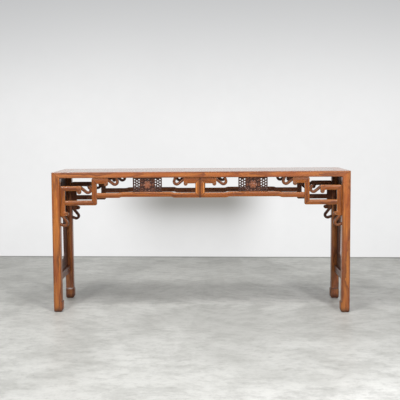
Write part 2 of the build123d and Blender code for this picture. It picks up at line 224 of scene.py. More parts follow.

# %% [markdown]
# ## Elm
#
# Sawn elm shows the rings of the trunk: arched figure on the flat-sawn side and straight lines on
# the other. A flat wave pattern gives stripes that stop at an edge. It is better to draw the rings
# in three dimensions, as circles round a wandering pith, and let each piece cut through them.
# Every piece carries its own grain coordinates (along, across, inward), shifted so that no two
# pieces come from the same spot of the trunk. Over the rings lie fibres, pores, patches of old
# stain, and dirt mixed with painted shade in corners, in recesses and high on the back legs.
# Rubbed edges are darker on legs and rails, where hands leave oil, and paler on the fretwork and
# carving, where the stain has gone; both also carry painted shading, shade on the dark edges and
# a highlight on the pale ones.

# %% The parts of the grain
pith_sway = 60 * mm
pith_drift = 110 * mm
ring_ripple = 0.9
batten_from_pith = 80 * mm
grain_noises = {
    "sway": ((1.7, 9.0, 9.0), 2.0),
    "drift": ((1.1, 5.0, 5.0), 1.0),
    "ripple": ((14.0, 60.0, 60.0), 2.0),
    "fibre": ((22.0, 900.0, 900.0), 3.0, 0.6),
    "streak": ((3.0, 130.0, 130.0), 3.0, 0.55),
    "pore": ((130.0, 2100.0, 2100.0), 1.0),
    "patch": ((5.0, 24.0, 24.0), 3.0),
    "wear_and_shading": ((40.0, 160.0, 160.0), 2.0),
    "dirt_and_shade": ((30.0, 90.0, 90.0), 2.0),
}


def grain_and_wear(tree, axes):
    """Grain coordinates (along, across, inward), how rubbed a point is and how dirty it is, both
    with painted shading mixed in.

    The pieces made here carry all three. A solid carries none, so its grain follows its object
    coordinates in the order of the axes, and it is evenly darkened and not rubbed.
    """
    if axes is None:
        fields = (("grain", "Vector"), ("rub_and_shading", "Fac"), ("dust", "Fac"))
        return [tree.attribute(name, output) for name, output in fields]
    place = tree.parts(tree.node("ShaderNodeTexCoord", output="Object"))
    along, across, inward = (place[axis] for axis in axes)
    return tree.combine(along, across, inward + batten_from_pith), 0.0, 0.5


def growth_rings(tree, grain, noise, ring):
    """How late and how early in its year the wood at a point grew, both from 0 to 1.

    The distance from the pith, divided by the width of a ring, counts the rings, and its fraction
    says where in a ring a point lies: pale and porous at first, then dense and dark.
    """
    _, across, inward = tree.parts(grain)
    side = across + (noise["sway"] - 0.5) * pith_sway
    back = inward + (noise["drift"] - 0.5) * pith_drift
    from_pith = (side * side + back * back) ** 0.5
    turn = (from_pith / ring + (noise["ripple"] - 0.5) * ring_ripple).fraction()
    late = tree.step(turn, 0.45, 0.93) * (1.0 - tree.step(turn, 0.955, 1.0))
    return late, 1.0 - tree.step(turn, 0.05, 0.35)


print("grain from", len(grain_noises), "noises")

# %% The wood material
pore_brown, grime_and_shade_brown = paint(58, 26, 10), paint(46, 20, 10)
bump_depth = 0.5 * mm


def elm(name, colours, ring=13 * mm, relief=0.30, dirt_and_shade=0.8, shine=0.28, coat=0.25, axes=None):
    """Elm from four colours: pale wood, dense wood, old stain and rubbed edges. The edge colour
    also
    paints shading on the rounding: shade where it is dark, a highlight where it is pale.

    The colour starts pale, and each layer in turn is mixed over it by an amount from 0 to 1. The
    bump adds fibres, late wood and streaks, and takes the pores away.
    """
    tree = Tree(bpy.data.materials.new(name))
    pale, deep, stain, edge = (paint(*colour) for colour in colours)
    grain, rub_and_shading, dust = grain_and_wear(tree, axes)
    noise = {key: tree.noise(grain, *row) for key, row in grain_noises.items()}
    late, early = growth_rings(tree, grain, noise, ring)
    fibre, streak = noise["fibre"], noise["streak"]
    pore = tree.step(noise["pore"], 0.60, 0.68)
    rub_and_shading_mask = rub_and_shading * (0.55 + noise["wear_and_shading"] * 0.7)
    grime_and_shade = (dust * (0.6 + noise["dirt_and_shade"] * 0.8)).clamped()
    body = pale
    for amount, layer in (
        (late * 0.80, deep),  # rings
        (tree.step(streak, 0.44, 0.64) * 0.60, deep),  # streaks along the grain
        (tree.step(noise["patch"], 0.44, 0.62) * 0.65, stain),  # uneven old stain
        ((fibre - 0.35).clamped() * 0.8, deep),  # fine fibres
        (pore * (0.30 + early * 0.40), pore_brown),  # open pores, most in early wood
        # Rubbed edges also carry painted shading: shade on dark edges, a highlight on pale ones.
        (rub_and_shading_mask.clamped() * 0.70, edge),  # edges that hands have rubbed
        # Dirt here also carries painted shade in corners, in recesses and high on the back legs.
        (grime_and_shade * dirt_and_shade, grime_and_shade_brown),  # dirt in corners
    ):
        body = tree.mix(amount, body, layer)
    raised = fibre * 0.35 + late * 0.5 - pore * 0.9 + streak * 0.4
    bump = {"Strength": relief, "Distance": bump_depth, "Height": raised}
    surface = {
        "Base Color": body,
        "Roughness": shine + streak * 0.14 + pore * 0.25 + grime_and_shade * 0.25 - rub_and_shading_mask * 0.05,
        "Normal": tree.node("ShaderNodeBump", {}, bump),
        "Specular IOR Level": 0.3,
        "Coat Weight": coat,
        "Coat Roughness": 0.12,
    }
    return tree.finish(tree.node("ShaderNodeBsdfPrincipled", {}, surface))


print("the grain's bump is", bump_depth / mm, "mm deep")

# %% The woods of the table
# Edge colours: the dark one paints shade on the rounding of rubbed edges, the pale ones a
# highlight.
dark_edge_and_shade, pale_edge_and_highlight, carved_edge_and_highlight = (92, 44, 16), (226, 146, 74), (214, 132, 90)
wood_list = (
    (
        "rail_wood",
        "elm_rails",
        ((180, 106, 44), (106, 48, 14), (160, 82, 28), dark_edge_and_shade),
        {"coat": 0.7, "relief": 0.12},
    ),
    ("leg_wood", "elm_legs", ((198, 121, 51), (96, 43, 14), (160, 80, 32), dark_edge_and_shade), {}),
    (
        "panel_wood",
        "elm_panel",
        ((150, 104, 70), (98, 60, 40), (132, 86, 56), dark_edge_and_shade),
        {"shine": 0.2, "coat": 0.7, "relief": 0.05},
    ),
    ("fret_wood", "elm_fretwork", ((152, 84, 22), (90, 40, 8), (136, 67, 17), pale_edge_and_highlight), {}),
    (
        "carved_wood",
        "elm_carving",
        ((128, 72, 42), (60, 31, 22), (102, 56, 32), carved_edge_and_highlight),
        {"ring": 7 * mm, "dirt_and_shade": 1.0, "shine": 0.45},
    ),
    # The side boards and stretchers are a darker copy of the wood, as painted shade.
    ("side_wood", "elm_side_boards_painted_shade", ((120, 66, 36), (66, 32, 16), (100, 50, 26), dark_edge_and_shade), {}),
)
woods = {slot: elm(name, colours, **finish) for slot, name, colours, finish in wood_list}
batten_colours = ((150, 92, 58), (92, 48, 28), (130, 76, 48), dark_edge_and_shade)
batten_wood = elm("elm_battens", batten_colours, axes=(1, 0, 2), shine=0.6)
print("woods", ", ".join(woods))

# %% [markdown]
# ## Meshes from whole arrays
#
# A piece is one or more closed shells. A mesh can be built face by face with bmesh, but that is
# slow in Python and hides the shape. Here each shell is worked out with numpy as a grid of points
# and put into the mesh in one go. The volume that a shell encloses has a sign, so the sign tells
# whether its faces point outwards, and a shell that is inside out is turned round.


# %% Grids and shells
def grid_faces(rows, columns, wrap=False):
    """Corners of the quads of a grid: a point, its right neighbour, and the same two a row on."""
    last = columns if wrap else columns - 1
    row, column = np.meshgrid(np.arange(rows - 1), np.arange(last), indexing="ij")
    here = row * columns + column
    beside = row * columns + (column + 1) % columns
    return np.stack([here, beside, beside + columns, here + columns], axis=-1).reshape(-1, 4)


def signed_volume(points, faces):
    """A sixth of the sum of a . (b x c) over the triangles: positive where faces point outwards."""
    total = 0.0
    for block in faces:
        for corner in range(1, block.shape[1] - 1):
            a, b, c = (points[block[:, number]] for number in (0, corner, corner + 1))
            total += np.einsum("ij,ij->i", a, np.cross(b, c)).sum() / 6
    return total


class Shell:
    """A closed surface: points, blocks of faces, and how rubbed and how dirty each point is, both
    with painted shading mixed in.
    """

    def __init__(self, points, faces, rub_and_shading=0.0, dust=0.0):
        self.points = np.asarray(points, float).reshape(-1, 3)
        self.faces = faces
        self.rub_and_shading = np.broadcast_to(rub_and_shading, len(self.points)) + 0.0
        self.dust = np.broadcast_to(dust, len(self.points)) + 0.0

    def moved(self, change):
        """The same shell with a function applied to its points."""
        return Shell(change(self.points), self.faces, self.rub_and_shading, self.dust)


print("a grid of 3 by 4 points has", len(grid_faces(3, 4)), "faces")

# %% One mesh of several shells
sharp_angle = math.radians(38)


def joined(name, shells):
    """One mesh of several shells, each turned so that its faces point outwards."""
    loops, sizes, first = [], [], 0
    for shell in shells:
        inside_out = signed_volume(shell.points - shell.points.mean(axis=0), shell.faces) < 0
        for block in shell.faces:
            loops.append(((block[:, ::-1] if inside_out else block) + first).ravel())
            sizes.append(np.full(len(block), block.shape[1]))
        first += len(shell.points)
    points = np.concatenate([shell.points for shell in shells])
    loops, sizes = np.concatenate(loops), np.concatenate(sizes)
    starts = np.concatenate([[0], np.cumsum(sizes)[:-1]])
    mesh = bpy.data.meshes.new(name)
    mesh.vertices.add(len(points))
    mesh.vertices.foreach_set("co", points.astype(np.float32).ravel())
    mesh.loops.add(len(loops))
    mesh.loops.foreach_set("vertex_index", loops.astype(np.int32))
    mesh.polygons.add(len(sizes))
    mesh.polygons.foreach_set("loop_start", starts.astype(np.int32))
    mesh.update(calc_edges=True)
    mesh.polygons.foreach_set("use_smooth", np.ones(len(sizes), bool))
    mesh.set_sharp_from_angle(angle=sharp_angle)
    return mesh, points


print("edges stay crisp above", round(math.degrees(sharp_angle)), "degrees")

# %% One piece of the table
pieces_made = []
first_seed = 7
trunk_spans = ((0, 9), (-35 * mm, 35 * mm), (50 * mm, 130 * mm))
grain_order = {"x": [0, 2, 1], "y": [1, 2, 0], "z": [2, 0, 1]}


def own_grain(points, along):
    """Grain coordinates of a piece: (along, across, inward) from its middle, and its own shift.

    The shift is drawn from a seed that counts the pieces, so each run gives the same wood.
    """
    spot = np.random.default_rng(len(pieces_made) + first_seed)
    shift = np.array([spot.uniform(*span) for span in trunk_spans])
    middle = (points.min(axis=0) + points.max(axis=0)) / 2
    return (points - middle)[:, grain_order[along]] + shift


def piece(node, slot, shells, along):
    """Puts shells into one mesh, with its grain along an axis, in the place of a solid."""
    name = f"{node}_wood"
    mesh, points = joined(name, shells)
    fields = {
        "grain": own_grain(points, along),
        "rub_and_shading": np.concatenate([shell.rub_and_shading for shell in shells]),
        "dust": np.concatenate([shell.dust for shell in shells]),
    }
    for label, values in fields.items():
        kind, field = ("FLOAT", "value") if values.ndim == 1 else ("FLOAT_VECTOR", "vector")
        stored = mesh.attributes.new(label, kind, "POINT")
        stored.data.foreach_set(field, values.astype(np.float32).ravel())
    mesh.materials.append(woods[slot])
    made = in_scene(name, mesh)
    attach(made, "root")
    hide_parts(node)
    pieces_made.append((name, len(mesh.polygons)))
    return made


def to_corner(side, face):
    """Moves points from the drawing corner, front left, to one of the table's four corners."""
    mirror_x = -1 if side == "right" else 1
    mirror_y = -1 if face == "back" else 1
    return lambda points: (points - [length / 2, depth / 2, 0]) * [mirror_x, mirror_y, 1]


def swapped(points):
    """Swaps x and y, for what runs along a short side."""
    return points[:, [1, 0, 2]]


corners = [(side, face) for side in ("left", "right") for face in ("front", "back")]
print("corners", corners)

# %% [markdown]
# ## Lofts
#
# A leg is a square post with softened corners, and so is a rail lying down. A Bevel modifier could
# soften a box, but it can't follow a foot or a mitre. Both are lofts here: one closed outline
# repeated at many stations. The outline is a rounded rectangle, written for each point as where
# its corner lies between the low and the high side, which way the rounding pushes it from there,
# and how worn the edge is, which also paints shade on the rounding. The same push, taken
# backwards, sinks the last outline a hair at a mitre and so draws the joint line.

# %% Rounded outline and loft
outline_shares = (0.03, 0.12, 0.5, 0.88, 0.97)
outline_steps = 5
edge_wear_and_shading = ((0.03, 0.12, 0.3), (0.85, 0.25, 0.0))


def rounded_outline():
    """Points round a unit square: position (u, v) from 0 to 1, unit push (du, dv), and wear that
    also paints shade on the rounding.

    Each corner is a quarter circle of pushes at one position, and each side is positions between
    two corners with one push. The wear and its painted shade is a sine over a corner and falls off
    along a side.
    """
    rows = []
    square = [(0, 0), (1, 0), (1, 1), (0, 1)]
    for turn in range(4):
        start, stop = square[turn], square[(turn + 1) % 4]
        facing = 90 * turn - 90
        for share in outline_shares:
            here = [start[axis] + (stop[axis] - start[axis]) * share for axis in (0, 1)]
            worn_and_shaded = float(np.interp(min(share, 1 - share), *edge_wear_and_shading))
            angle = math.radians(facing)
            rows.append((*here, math.cos(angle), math.sin(angle), worn_and_shaded))
        for step in range(outline_steps + 1):
            angle = math.radians(facing + 90 * step / outline_steps)
            worn_and_shaded = math.sin(math.pi * (step + 0.7) / (outline_steps + 1.4))
            rows.append((*stop, math.cos(angle), math.sin(angle), worn_and_shaded))
    return np.array(rows).T


def loft(rings):
    """Closed shell from rings of points, shape (rows, around, 3), with a fan at each end."""
    rows, around = rings.shape[:2]
    count, spot = rows * around, np.arange(around)
    onward, last = (spot + 1) % around, (rows - 1) * around
    middles = np.stack([rings[0].mean(axis=0), rings[-1].mean(axis=0)])
    first_fan = np.stack([np.full(around, count), onward, spot], axis=1)
    last_fan = np.stack([np.full(around, count + 1), last + spot, last + onward], axis=1)
    points = np.concatenate([rings.reshape(-1, 3), middles])
    return points, [grid_faces(rows, around, wrap=True), first_fan, last_fan]


def loft_wear_and_shading(wear_and_shading, count):
    """How rubbed each point of a loft is, with painted shade on the rounding: the outline's wear at
    each station, none in the fans.
    """
    return np.concatenate([np.tile(wear_and_shading, count), [0, 0]])


def stations(reach, near, count):
    """Stations from 0 to reach: evenly spaced ones, and some near to both ends."""
    near = np.array(near)
    return np.unique(np.concatenate([near, reach - near, np.linspace(0, reach, count)]))


def bell(value, width):
    """A bell curve: 1 where the value is 0, and exp(-1) where it is as large as the width."""
    return np.exp(-((value / width) ** 2))


print("outline", rounded_outline().shape[1], "points")

# %% [markdown]
# ## Legs
#
# A leg ends below in a hoof foot that turns inwards, and above in a mitre towards each rail, with
# a small curve in the corner. The foot could be sculpted, but it is made of plain circles, as a
# joiner cuts it from a template: one for the belly, one for the shoulder and one for the toe.

# %% Sizes of legs and rails
leg_size = 50 * mm
rail_height = 36 * mm
rail_width = 78 * mm
corner_curve = 8 * mm
edge_round = 3.5 * mm
seam = 0.5 * mm
foot_height = 66 * mm
foot_lobe = 6 * mm
foot_shoulder = 4.5 * mm
foot_belly = 24 * mm
foot_toe_round = 12 * mm
foot_heel = 6 * mm
foot_round = 5.5 * mm
fillet_reach, fillet_fade = 2.2 * mm, 1.6 * mm
foot_stations = np.array([0, 0.8, 2, 3.5, 5.5, 8, 11, 14, 18, 21, 24, 34, 46, 56]) * mm
shoulder_stations = np.array([-4.5, -3, -1.8, -0.8, -0.2, 0, 0.6, 2, 5]) * mm
shaft_start, shaft_count = 90 * mm, 26
head_shares = np.array([0.12, 0.3, 0.5, 0.7, 0.85, 0.95, 0.985, 1.0])
rail_under = height - rail_height
mitre_fall = rail_height / leg_size
curve_start = rail_under - corner_curve


def mitre_meets_curve():
    """How far in from the outer face the mitre meets the small curve between leg and rail.

    The mitre is z = height - fall x, the curve a circle, and the nearer crossing is the root of
    the quadratic that they make.
    """
    centre_x = leg_size + corner_curve
    rise = height - curve_start
    a = 1 + mitre_fall**2
    b = -2 * (centre_x + mitre_fall * rise)
    c = centre_x**2 + rise**2 - corner_curve**2
    return (-b - math.sqrt(b * b - 4 * a * c)) / (2 * a)


mitre_x = mitre_meets_curve()
mitre_z = height - mitre_fall * mitre_x
print("the mitre ends", round(mitre_x / mm, 2), "mm in")


# %% The outlines of a leg
def foot_profile(z):
    """Inner and outer face of a leg at a height z, from the hoof to the shaft.

    Inside, a circle swells to the belly, a quarter circle turns in at the shoulder, and a fillet
    dies away above it. Outside, a quarter circle turns under at the toe.
    """
    undercut = foot_lobe + foot_heel
    belly = (foot_belly**2 + undercut**2) / (2 * undercut)
    under = np.clip(foot_belly - z, 0, None)
    inner = leg_size + foot_lobe - belly + np.sqrt(belly**2 - under**2)
    over = np.clip(z - (foot_height - foot_shoulder), 0, foot_shoulder)
    inner -= foot_shoulder - np.sqrt(foot_shoulder**2 - over**2)
    fillet = leg_size + fillet_reach * np.exp(-(z - foot_height) / fillet_fade)
    toe = np.clip(foot_toe_round - z, 0, foot_toe_round)
    outer = foot_toe_round - np.sqrt(foot_toe_round**2 - toe**2)
    return np.where(z > foot_height, fillet, inner), outer


def leg_rings():
    """Outlines of a leg from the floor to its mitres, drawn at the front left corner.

    Above the shaft every outline rises to the mitre planes z = height - fall x and
    z = height - fall y, while the inner faces follow the small curve.
    """
    u, v, du, dv, _ = rounded_outline()
    shaft = np.linspace(shaft_start, curve_start, shaft_count)
    z = np.concatenate([foot_stations, foot_height + shoulder_stations, shaft])
    inner, outer = (face[:, None] for face in foot_profile(z))
    z = z[:, None]
    wide = inner - outer
    soft = np.minimum(np.where(z < foot_height, foot_round, edge_round), wide / 3)
    x = outer + soft + u * (wide - 2 * soft) + soft * du
    y = outer + soft + v * (wide - 2 * soft) + soft * dv
    body = np.stack([x, y, np.broadcast_to(z, x.shape)], axis=-1)
    share = head_shares[:, None]
    rise = share * (mitre_z - curve_start)
    wide = leg_size + corner_curve - np.sqrt(corner_curve**2 - rise**2)
    sink = np.where(share == 1.0, seam, 0.0)
    x = edge_round + u * (wide - 2 * edge_round) + (edge_round - sink) * du
    y = edge_round + v * (wide - 2 * edge_round) + (edge_round - sink) * dv
    top = height - mitre_fall * np.maximum(x, y) - sink
    head = np.stack([x, y, curve_start + share * (top - curve_start)], axis=-1)
    return np.concatenate([body, head])


print("a leg has", len(leg_rings()), "outlines")

# %% Legs
floor_dirt, low_darkening, shoulder_dark_line = 26 * mm, 600 * mm, 2.5 * mm
inner_face = leg_size - 2 * mm
# Painted shade on the back legs grows from this height over this span.
painted_shade_from, painted_shade_over = 500 * mm, 250 * mm


def leg_shell():
    """A leg with worn edges, painted with shade on their rounding, and dirt at the floor. It is
    also darker along the foot's shoulder, on its inner faces and towards the bottom.
    """
    rings = leg_rings()
    points, faces = loft(rings)
    wear_and_shading = loft_wear_and_shading(rounded_outline()[4], len(rings))
    z, nearest, furthest = points[:, 2], points[:, :2].min(axis=1), points[:, :2].max(axis=1)
    at_floor = np.clip(1.2 - z / floor_dirt, 0, 1) * 0.9
    inside = np.clip((nearest - inner_face) / (leg_size - inner_face), 0, 1) * 0.3
    on_shoulder = bell(z - foot_height, shoulder_dark_line) * (furthest > inner_face) * 0.9
    darker_low_down = np.clip(1 - z / low_darkening, 0, 1) * 0.28
    return Shell(points, faces, wear_and_shading, np.clip(at_floor + inside + on_shoulder + darker_low_down, 0, 1))


def darkened(placed):
    """A back leg with painted shade on its inner side, most of all high up; that side is also less
    rubbed.
    """
    inward = np.clip(leg.points[:, 1] / leg_size - 0.4, 0, 0.6) / 0.6
    upward = np.clip((leg.points[:, 2] - painted_shade_from) / painted_shade_over, 0, 1)
    placed.dust = np.clip(placed.dust + inward * (0.38 + 0.45 * upward), 0, 1)
    placed.rub_and_shading = placed.rub_and_shading * (1 - 0.5 * inward)
    return placed


leg = leg_shell()
for side, face in corners:
    placed = leg.moved(to_corner(side, face))
    shell = darkened(placed) if face == "back" else placed
    piece(f"leg_{face}_{side}", "leg_wood", [shell], "z")
print("leg", len(leg.points), "points")

# %% [markdown]
# ## Rails
#
# The four rails of the top meet in mitres, and each leg runs up into that corner, so three pieces
# share one joint. A Boolean could cut it, but a loft gets there with no cut: each point of the
# rail's outline starts at whichever of the two mitre planes lies further in.

# %% Rails
inner_round = 0.7 * mm
rail_near = np.array([0, 0.7, 1.6, 3, 5.5, 9, 20, 60]) * mm
rail_count = 40
curve_band = 4 * mm
curve_inset = 3 * mm
underside_darkening = 2 * mm


def rail_shell(run):
    """A rail along x: each outline point starts at the mitre and ends at the far mitre.

    The mitre is the further in of two planes, x = y on top and x = (height - z) / fall in front.
    Close to the leg the underside dips along the small curve.
    """
    u, v, du, dv, edge = rounded_outline()
    soft = np.where(u < 0.5, edge_round, inner_round)
    station = stations(run, rail_near, rail_count)[:, None]
    sink = np.where((station == 0) | (station == run), seam, 0.0)
    y = soft + u * (rail_width - 2 * soft) + (soft - sink) * du
    z = rail_under + soft + v * (rail_height - 2 * soft) + (soft - sink) * dv
    low = np.clip((rail_under + curve_band - z) / curve_band, 0, 1) * (y < leg_size - curve_inset)
    start = np.maximum(y, (height - z + (rail_under - mitre_z) * low) / mitre_fall)
    x = start + (run - 2 * start) * station / run
    reach = leg_size + corner_curve
    inside = np.clip(reach - np.minimum(x, run - x), 0, reach - mitre_x)
    z = z - (corner_curve - np.sqrt(corner_curve**2 - inside**2)) * low
    points, faces = loft(np.stack([x, y, z], axis=-1))
    # Outer edges are worn, with painted shade on their rounding; inner ones much less.
    wear_and_shading = loft_wear_and_shading(np.where(u < 0.5, edge, edge * 0.3), len(station))
    # The underside is darker in a narrow band.
    under = np.clip((rail_under + underside_darkening / 2 - points[:, 2]) / underside_darkening, 0, 1) * 0.5
    return Shell(points, faces, wear_and_shading, under)


long_rail = rail_shell(length)
short_rail = rail_shell(depth).moved(swapped)
for face in ("front", "back"):
    piece(f"long_rail_{face}", "rail_wood", [long_rail.moved(to_corner("left", face))], "x")
for side in ("left", "right"):
    piece(f"short_rail_{side}", "rail_wood", [short_rail.moved(to_corner(side, "front"))], "y")
print("rails", len(long_rail.points), "points each")

# %% [markdown]
# ## Panel of the top
#
# The panel floats in a groove of the rails, so that it can swell and shrink. It could stay flat,
# but an old top never is: its surface rises and falls by a fraction of a millimetre, and that is
# what bends the light on it. It is a grid of heights over a flat underside, and dust lies in the
# gap round it. The battens under it are hardly seen, so their solids only get a material.


# %% Top panel
def pillow(outer, inner):
    """Closed shell of two grids with the same layout, joined all round their rims."""
    rows, columns = outer.shape[:2]
    count = rows * columns
    index = np.arange(count).reshape(rows, columns)
    rim = np.concatenate([index[0, :-1], index[:-1, -1], index[-1, :0:-1], index[:0:-1, 0]])
    onward = np.roll(rim, -1)
    face = grid_faces(rows, columns)
    wall = np.stack([rim, rim + count, onward + count, onward], axis=1)
    points = np.concatenate([outer.reshape(-1, 3), inner.reshape(-1, 3)])
    return points, [face, face[:, ::-1] + count, wall]


def fall(distance, radius):
    """How deep a quarter circle lies at a distance from the edge: r - sqrt(r2 - (r - d)2)."""
    inside = np.clip(1 - distance / radius, 0, 1)
    return radius * (1 - np.sqrt(1 - inside**2))


panel_gap = 0.5 * mm
panel_thickness = 14 * mm
panel_round = 1 * mm
panel_wave = 0.25 * mm
wave_along, wave_across, wave_start = 5.1, 14.0, 1.0
wave_from_edge = 8 * mm
seam_dirt = 1.5 * mm
panel_near = np.array([0, 0.3, 1, 3]) * mm
panel_counts = (120, 36)


def panel_shell():
    """The floating panel: a slab along x whose boards have moved a little over the years.

    The surface sinks by slow waves, sin(a x + 1) sin(b y) + 1, at most half a millimetre deep. It
    never rises above the rails.
    """
    inner = rail_width + panel_gap
    sides = zip((length, depth), panel_counts)
    x, y = (stations(side - 2 * inner, panel_near, count) + inner for side, count in sides)
    x, y = np.meshgrid(x, y, indexing="ij")
    edge = np.minimum.reduce([x - inner, length - inner - x, y - inner, depth - inner - y])
    wave = panel_wave * (np.sin(x * wave_along + wave_start) * np.sin(y * wave_across) + 1.0)
    top = height - fall(edge, panel_round) - wave * np.clip(edge / wave_from_edge, 0, 1)
    outer = np.stack([x, y, top], axis=-1)
    under = np.stack([x, y, np.full_like(x, height - panel_thickness)], axis=-1)
    points, faces = pillow(outer, under)
    seam_dust = bell(edge.ravel(), seam_dirt) * 0.9
    return Shell(points, faces, 0.0, np.concatenate([seam_dust, np.full(edge.size, 0.6)]))


panel = panel_shell()
piece("top_panel", "panel_wood", [panel.moved(to_corner("left", "front"))], "x")
for number in range(1, 5):
    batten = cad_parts[f"batten_{number}"].data
    batten.materials.clear()
    batten.materials.append(batten_wood)
print("panel", len(panel.points), "points")

# %% [markdown]
# ## Bars between two edges
#
# The fretwork and the boards of the short sides are flat pieces with a shaped edge. Such a piece
# can be cut from a block with Booleans, but then its edges are hard to soften. Here the front is a
# grid drawn between two edge curves, and every point sinks by how near it is to an edge: a quarter
# circle near a moulded edge and a hair at a joint. The back is the same grid. Rubbing and a painted
# highlight follow the crest of the moulding, painted shade lies beside its edge, dust lies in the
# joints, and the back is darker.


# %% Curves
def arc(centre, radius, start, stop, steps=8):
    """Points of a circle between two angles in degrees."""
    angle = np.radians(np.linspace(start, stop, steps + 1))
    x, z = centre[0] + radius * np.cos(angle), centre[1] + radius * np.sin(angle)
    return np.stack([x, z], axis=1)


def line(start, stop, steps=1):
    """Points on a straight run."""
    return np.linspace(np.array(start, float), np.array(stop, float), steps + 1)


def path(*runs):
    """Runs that follow each other, with the point that two of them share kept once."""
    return np.concatenate([runs[0], *(run[1:] for run in runs[1:])])


def level(distances, height_at):
    """Points at distances along a bar, all at one height."""
    return np.stack([distances, np.full(len(distances), height_at)], axis=1)


def to_edge(points, edge):
    """Distance from each point (n, 2) to the nearest place of a polyline (m, 2)."""
    start, run = edge[:-1], np.diff(edge, axis=0)
    share = ((points[:, None] - start) * run).sum(axis=2) / np.maximum((run**2).sum(axis=1), 1e-12)
    nearest = start + np.clip(share, 0, 1)[..., None] * run
    return np.sqrt(((points[:, None] - nearest) ** 2).sum(axis=2)).min(axis=1)


def spread(first, second, near):
    """Adds stations at given distances from both ends to two edge curves of equal count."""
    middle = (first + second) / 2
    run = np.concatenate([[0], np.cumsum(np.hypot(*np.diff(middle, axis=0).T))])
    station = np.unique(np.round(np.concatenate([run, near, run[-1] - near]), 7))
    station = station[(station >= 0) & (station <= run[-1])]
    both = np.concatenate([first, second], axis=1)
    both = np.stack([np.interp(station, run, column) for column in both.T], axis=1)
    return both[:, :2], both[:, 2:]


half_circle = arc((0, 0), 10 * mm, 0, 180)
nearest = to_edge(np.zeros((1, 2)), half_circle)[0]
print("a circle of 10 mm drawn in runs comes as near as", round(nearest / mm, 2), "mm")

# %% A flat piece between two edges
slab_near = np.array([0, 0.3, 0.8, 2, 4]) * mm
slab_rows = np.array([0, 0.06, 0.25, 0.6, 1.0, 1.7])
row_limit = 0.42
moulded_from = 1 * mm
far_off = 1.0
crest_at, crest_width, edge_shade_width = 0.35, 0.55, 0.45
joint_dirt = 1.3 * mm


def slab_front(first, second, radius):
    """Grid (stations, rows, 2) between two edges, its rows crowded near both, and their shares."""
    first, second = spread(first, second, slab_near)
    width = np.hypot(*(second - first).T)[:, None]
    near = np.minimum(slab_rows * radius / width, row_limit)
    share = np.concatenate([near, np.full_like(width, 0.5), 1 - near[:, ::-1]], axis=1)
    return first[:, None] + (second - first)[:, None] * share[..., None], share


def slab(first, second, front, back, edges, crown=2.6 * mm, shade_and_dust=0.0):
    """A flat piece between two edge curves, drawn in (u, v), with w as its depth.

    The edges are (polyline, radius) pairs. A front point sinks by the deepest of the falls of all
    edges, and the crown lifts the middle. Rubbing is strongest on the crest of the moulding, where
    the edge colour also paints shading; painted shade lies beside its edge, dirt at the joints, and
    the back is darker. The last argument darkens the front further with dust and painted shade.
    Returns a shell with points (u, w, v).
    """
    radii = [radius for _, radius in edges]
    radius = max(radii)
    flat, share = slab_front(first, second, radius)
    shape = (*flat.shape[:2], 3)
    flat = flat.reshape(-1, 2)
    away = [to_edge(flat, edge) for edge, _ in edges]
    moulded, joint = np.full((2, len(flat)), far_off)
    for distance, r in zip(away, radii):
        if r > moulded_from:
            moulded = np.minimum(moulded, distance)
        else:
            joint = np.minimum(joint, distance)
    sink = np.max([fall(distance, r) for distance, r in zip(away, radii)], axis=0)
    eased = [min(r, moulded_from) for r in radii]
    hidden = np.max([fall(distance, r) for distance, r in zip(away, eased)], axis=0)
    lift = crown * np.sin(np.pi * share.ravel())
    outer = np.stack([flat[:, 0], front + crown - lift + sink, flat[:, 1]], axis=1)
    inner = np.stack([flat[:, 0], back - hidden, flat[:, 1]], axis=1)
    points, faces = pillow(outer.reshape(shape), inner.reshape(shape))
    from_crest = abs(moulded - crest_at * radius)
    rub_and_shading = np.clip(1 - from_crest / (crest_width * radius), 0, 1) * (1 - shade_and_dust)
    dust = np.clip(1 - moulded / (edge_shade_width * radius), 0, 1) * 0.6
    dust = dust + bell(joint, joint_dirt) * 0.9
    behind = np.full(len(rub_and_shading), min(0.75 + shade_and_dust, 1.0))
    dust = np.concatenate([np.clip(dust + shade_and_dust, 0, 1), behind])
    return Shell(points, faces, np.concatenate([rub_and_shading, rub_and_shading * 0.2]), dust)


print("a flat piece has", 2 * len(slab_rows) + 1, "rows from edge to edge")

# %% [markdown]
# ## Scroll ends
#
# Each half of an apron is eight bars. They meet in mitres with a rounded outer corner, and four of
# them end in a scroll: a tail that leaves the side towards the wall, turns round and comes back,
# and a small volute on the free side. The four scrolls point in three directions. Drawing each
# would be work for nothing, so the scroll is drawn once in its own frame, where p runs on from the
# end of the bar and q goes from the wall side to the free side, and is then put in its place.

# %% Sizes of the fretwork
bar = 30 * mm
upper_bar = 37 * mm
apron_recess = 8 * mm
apron_back = 36 * mm
bar_round = 4.2 * mm
bend_round = 10 * mm
frame_left = leg_size
frame_right = leg_size + bar
frame_top = rail_under - 50 * mm
corner_end = frame_top - 186 * mm
post_right = leg_size + 227 * mm
post_left = post_right - bar
lower_bottom = rail_under - 169.5 * mm
lower_top = lower_bottom + bar
long_bottom = rail_under - 124 * mm
long_top = long_bottom + bar
centre = length / 2
centre_left = centre - 29 * mm
hump_rise, hump_slope = 5.5 * mm, 24 * mm
hump_in, hump_out = centre - 492 * mm, centre - 168 * mm
hump_ease = np.array([0, 0.146, 0.5, 0.854, 1])
corner_bar_reach, top_bar_reach, rail_bar_reach = 150 * mm, 80 * mm, 60 * mm
scroll_reach = 68 * mm
top_bar_end = post_left - scroll_reach + 1 * mm
outer_scroll_end = post_left + 100 * mm
inner_scroll_end = centre - 100 * mm
tail = 17 * mm
tail_root = 1 * mm
tail_recess = 3 * mm
tail_round = 5 * mm
scroll_radius = 25 * mm
scroll_rise = 25 * mm
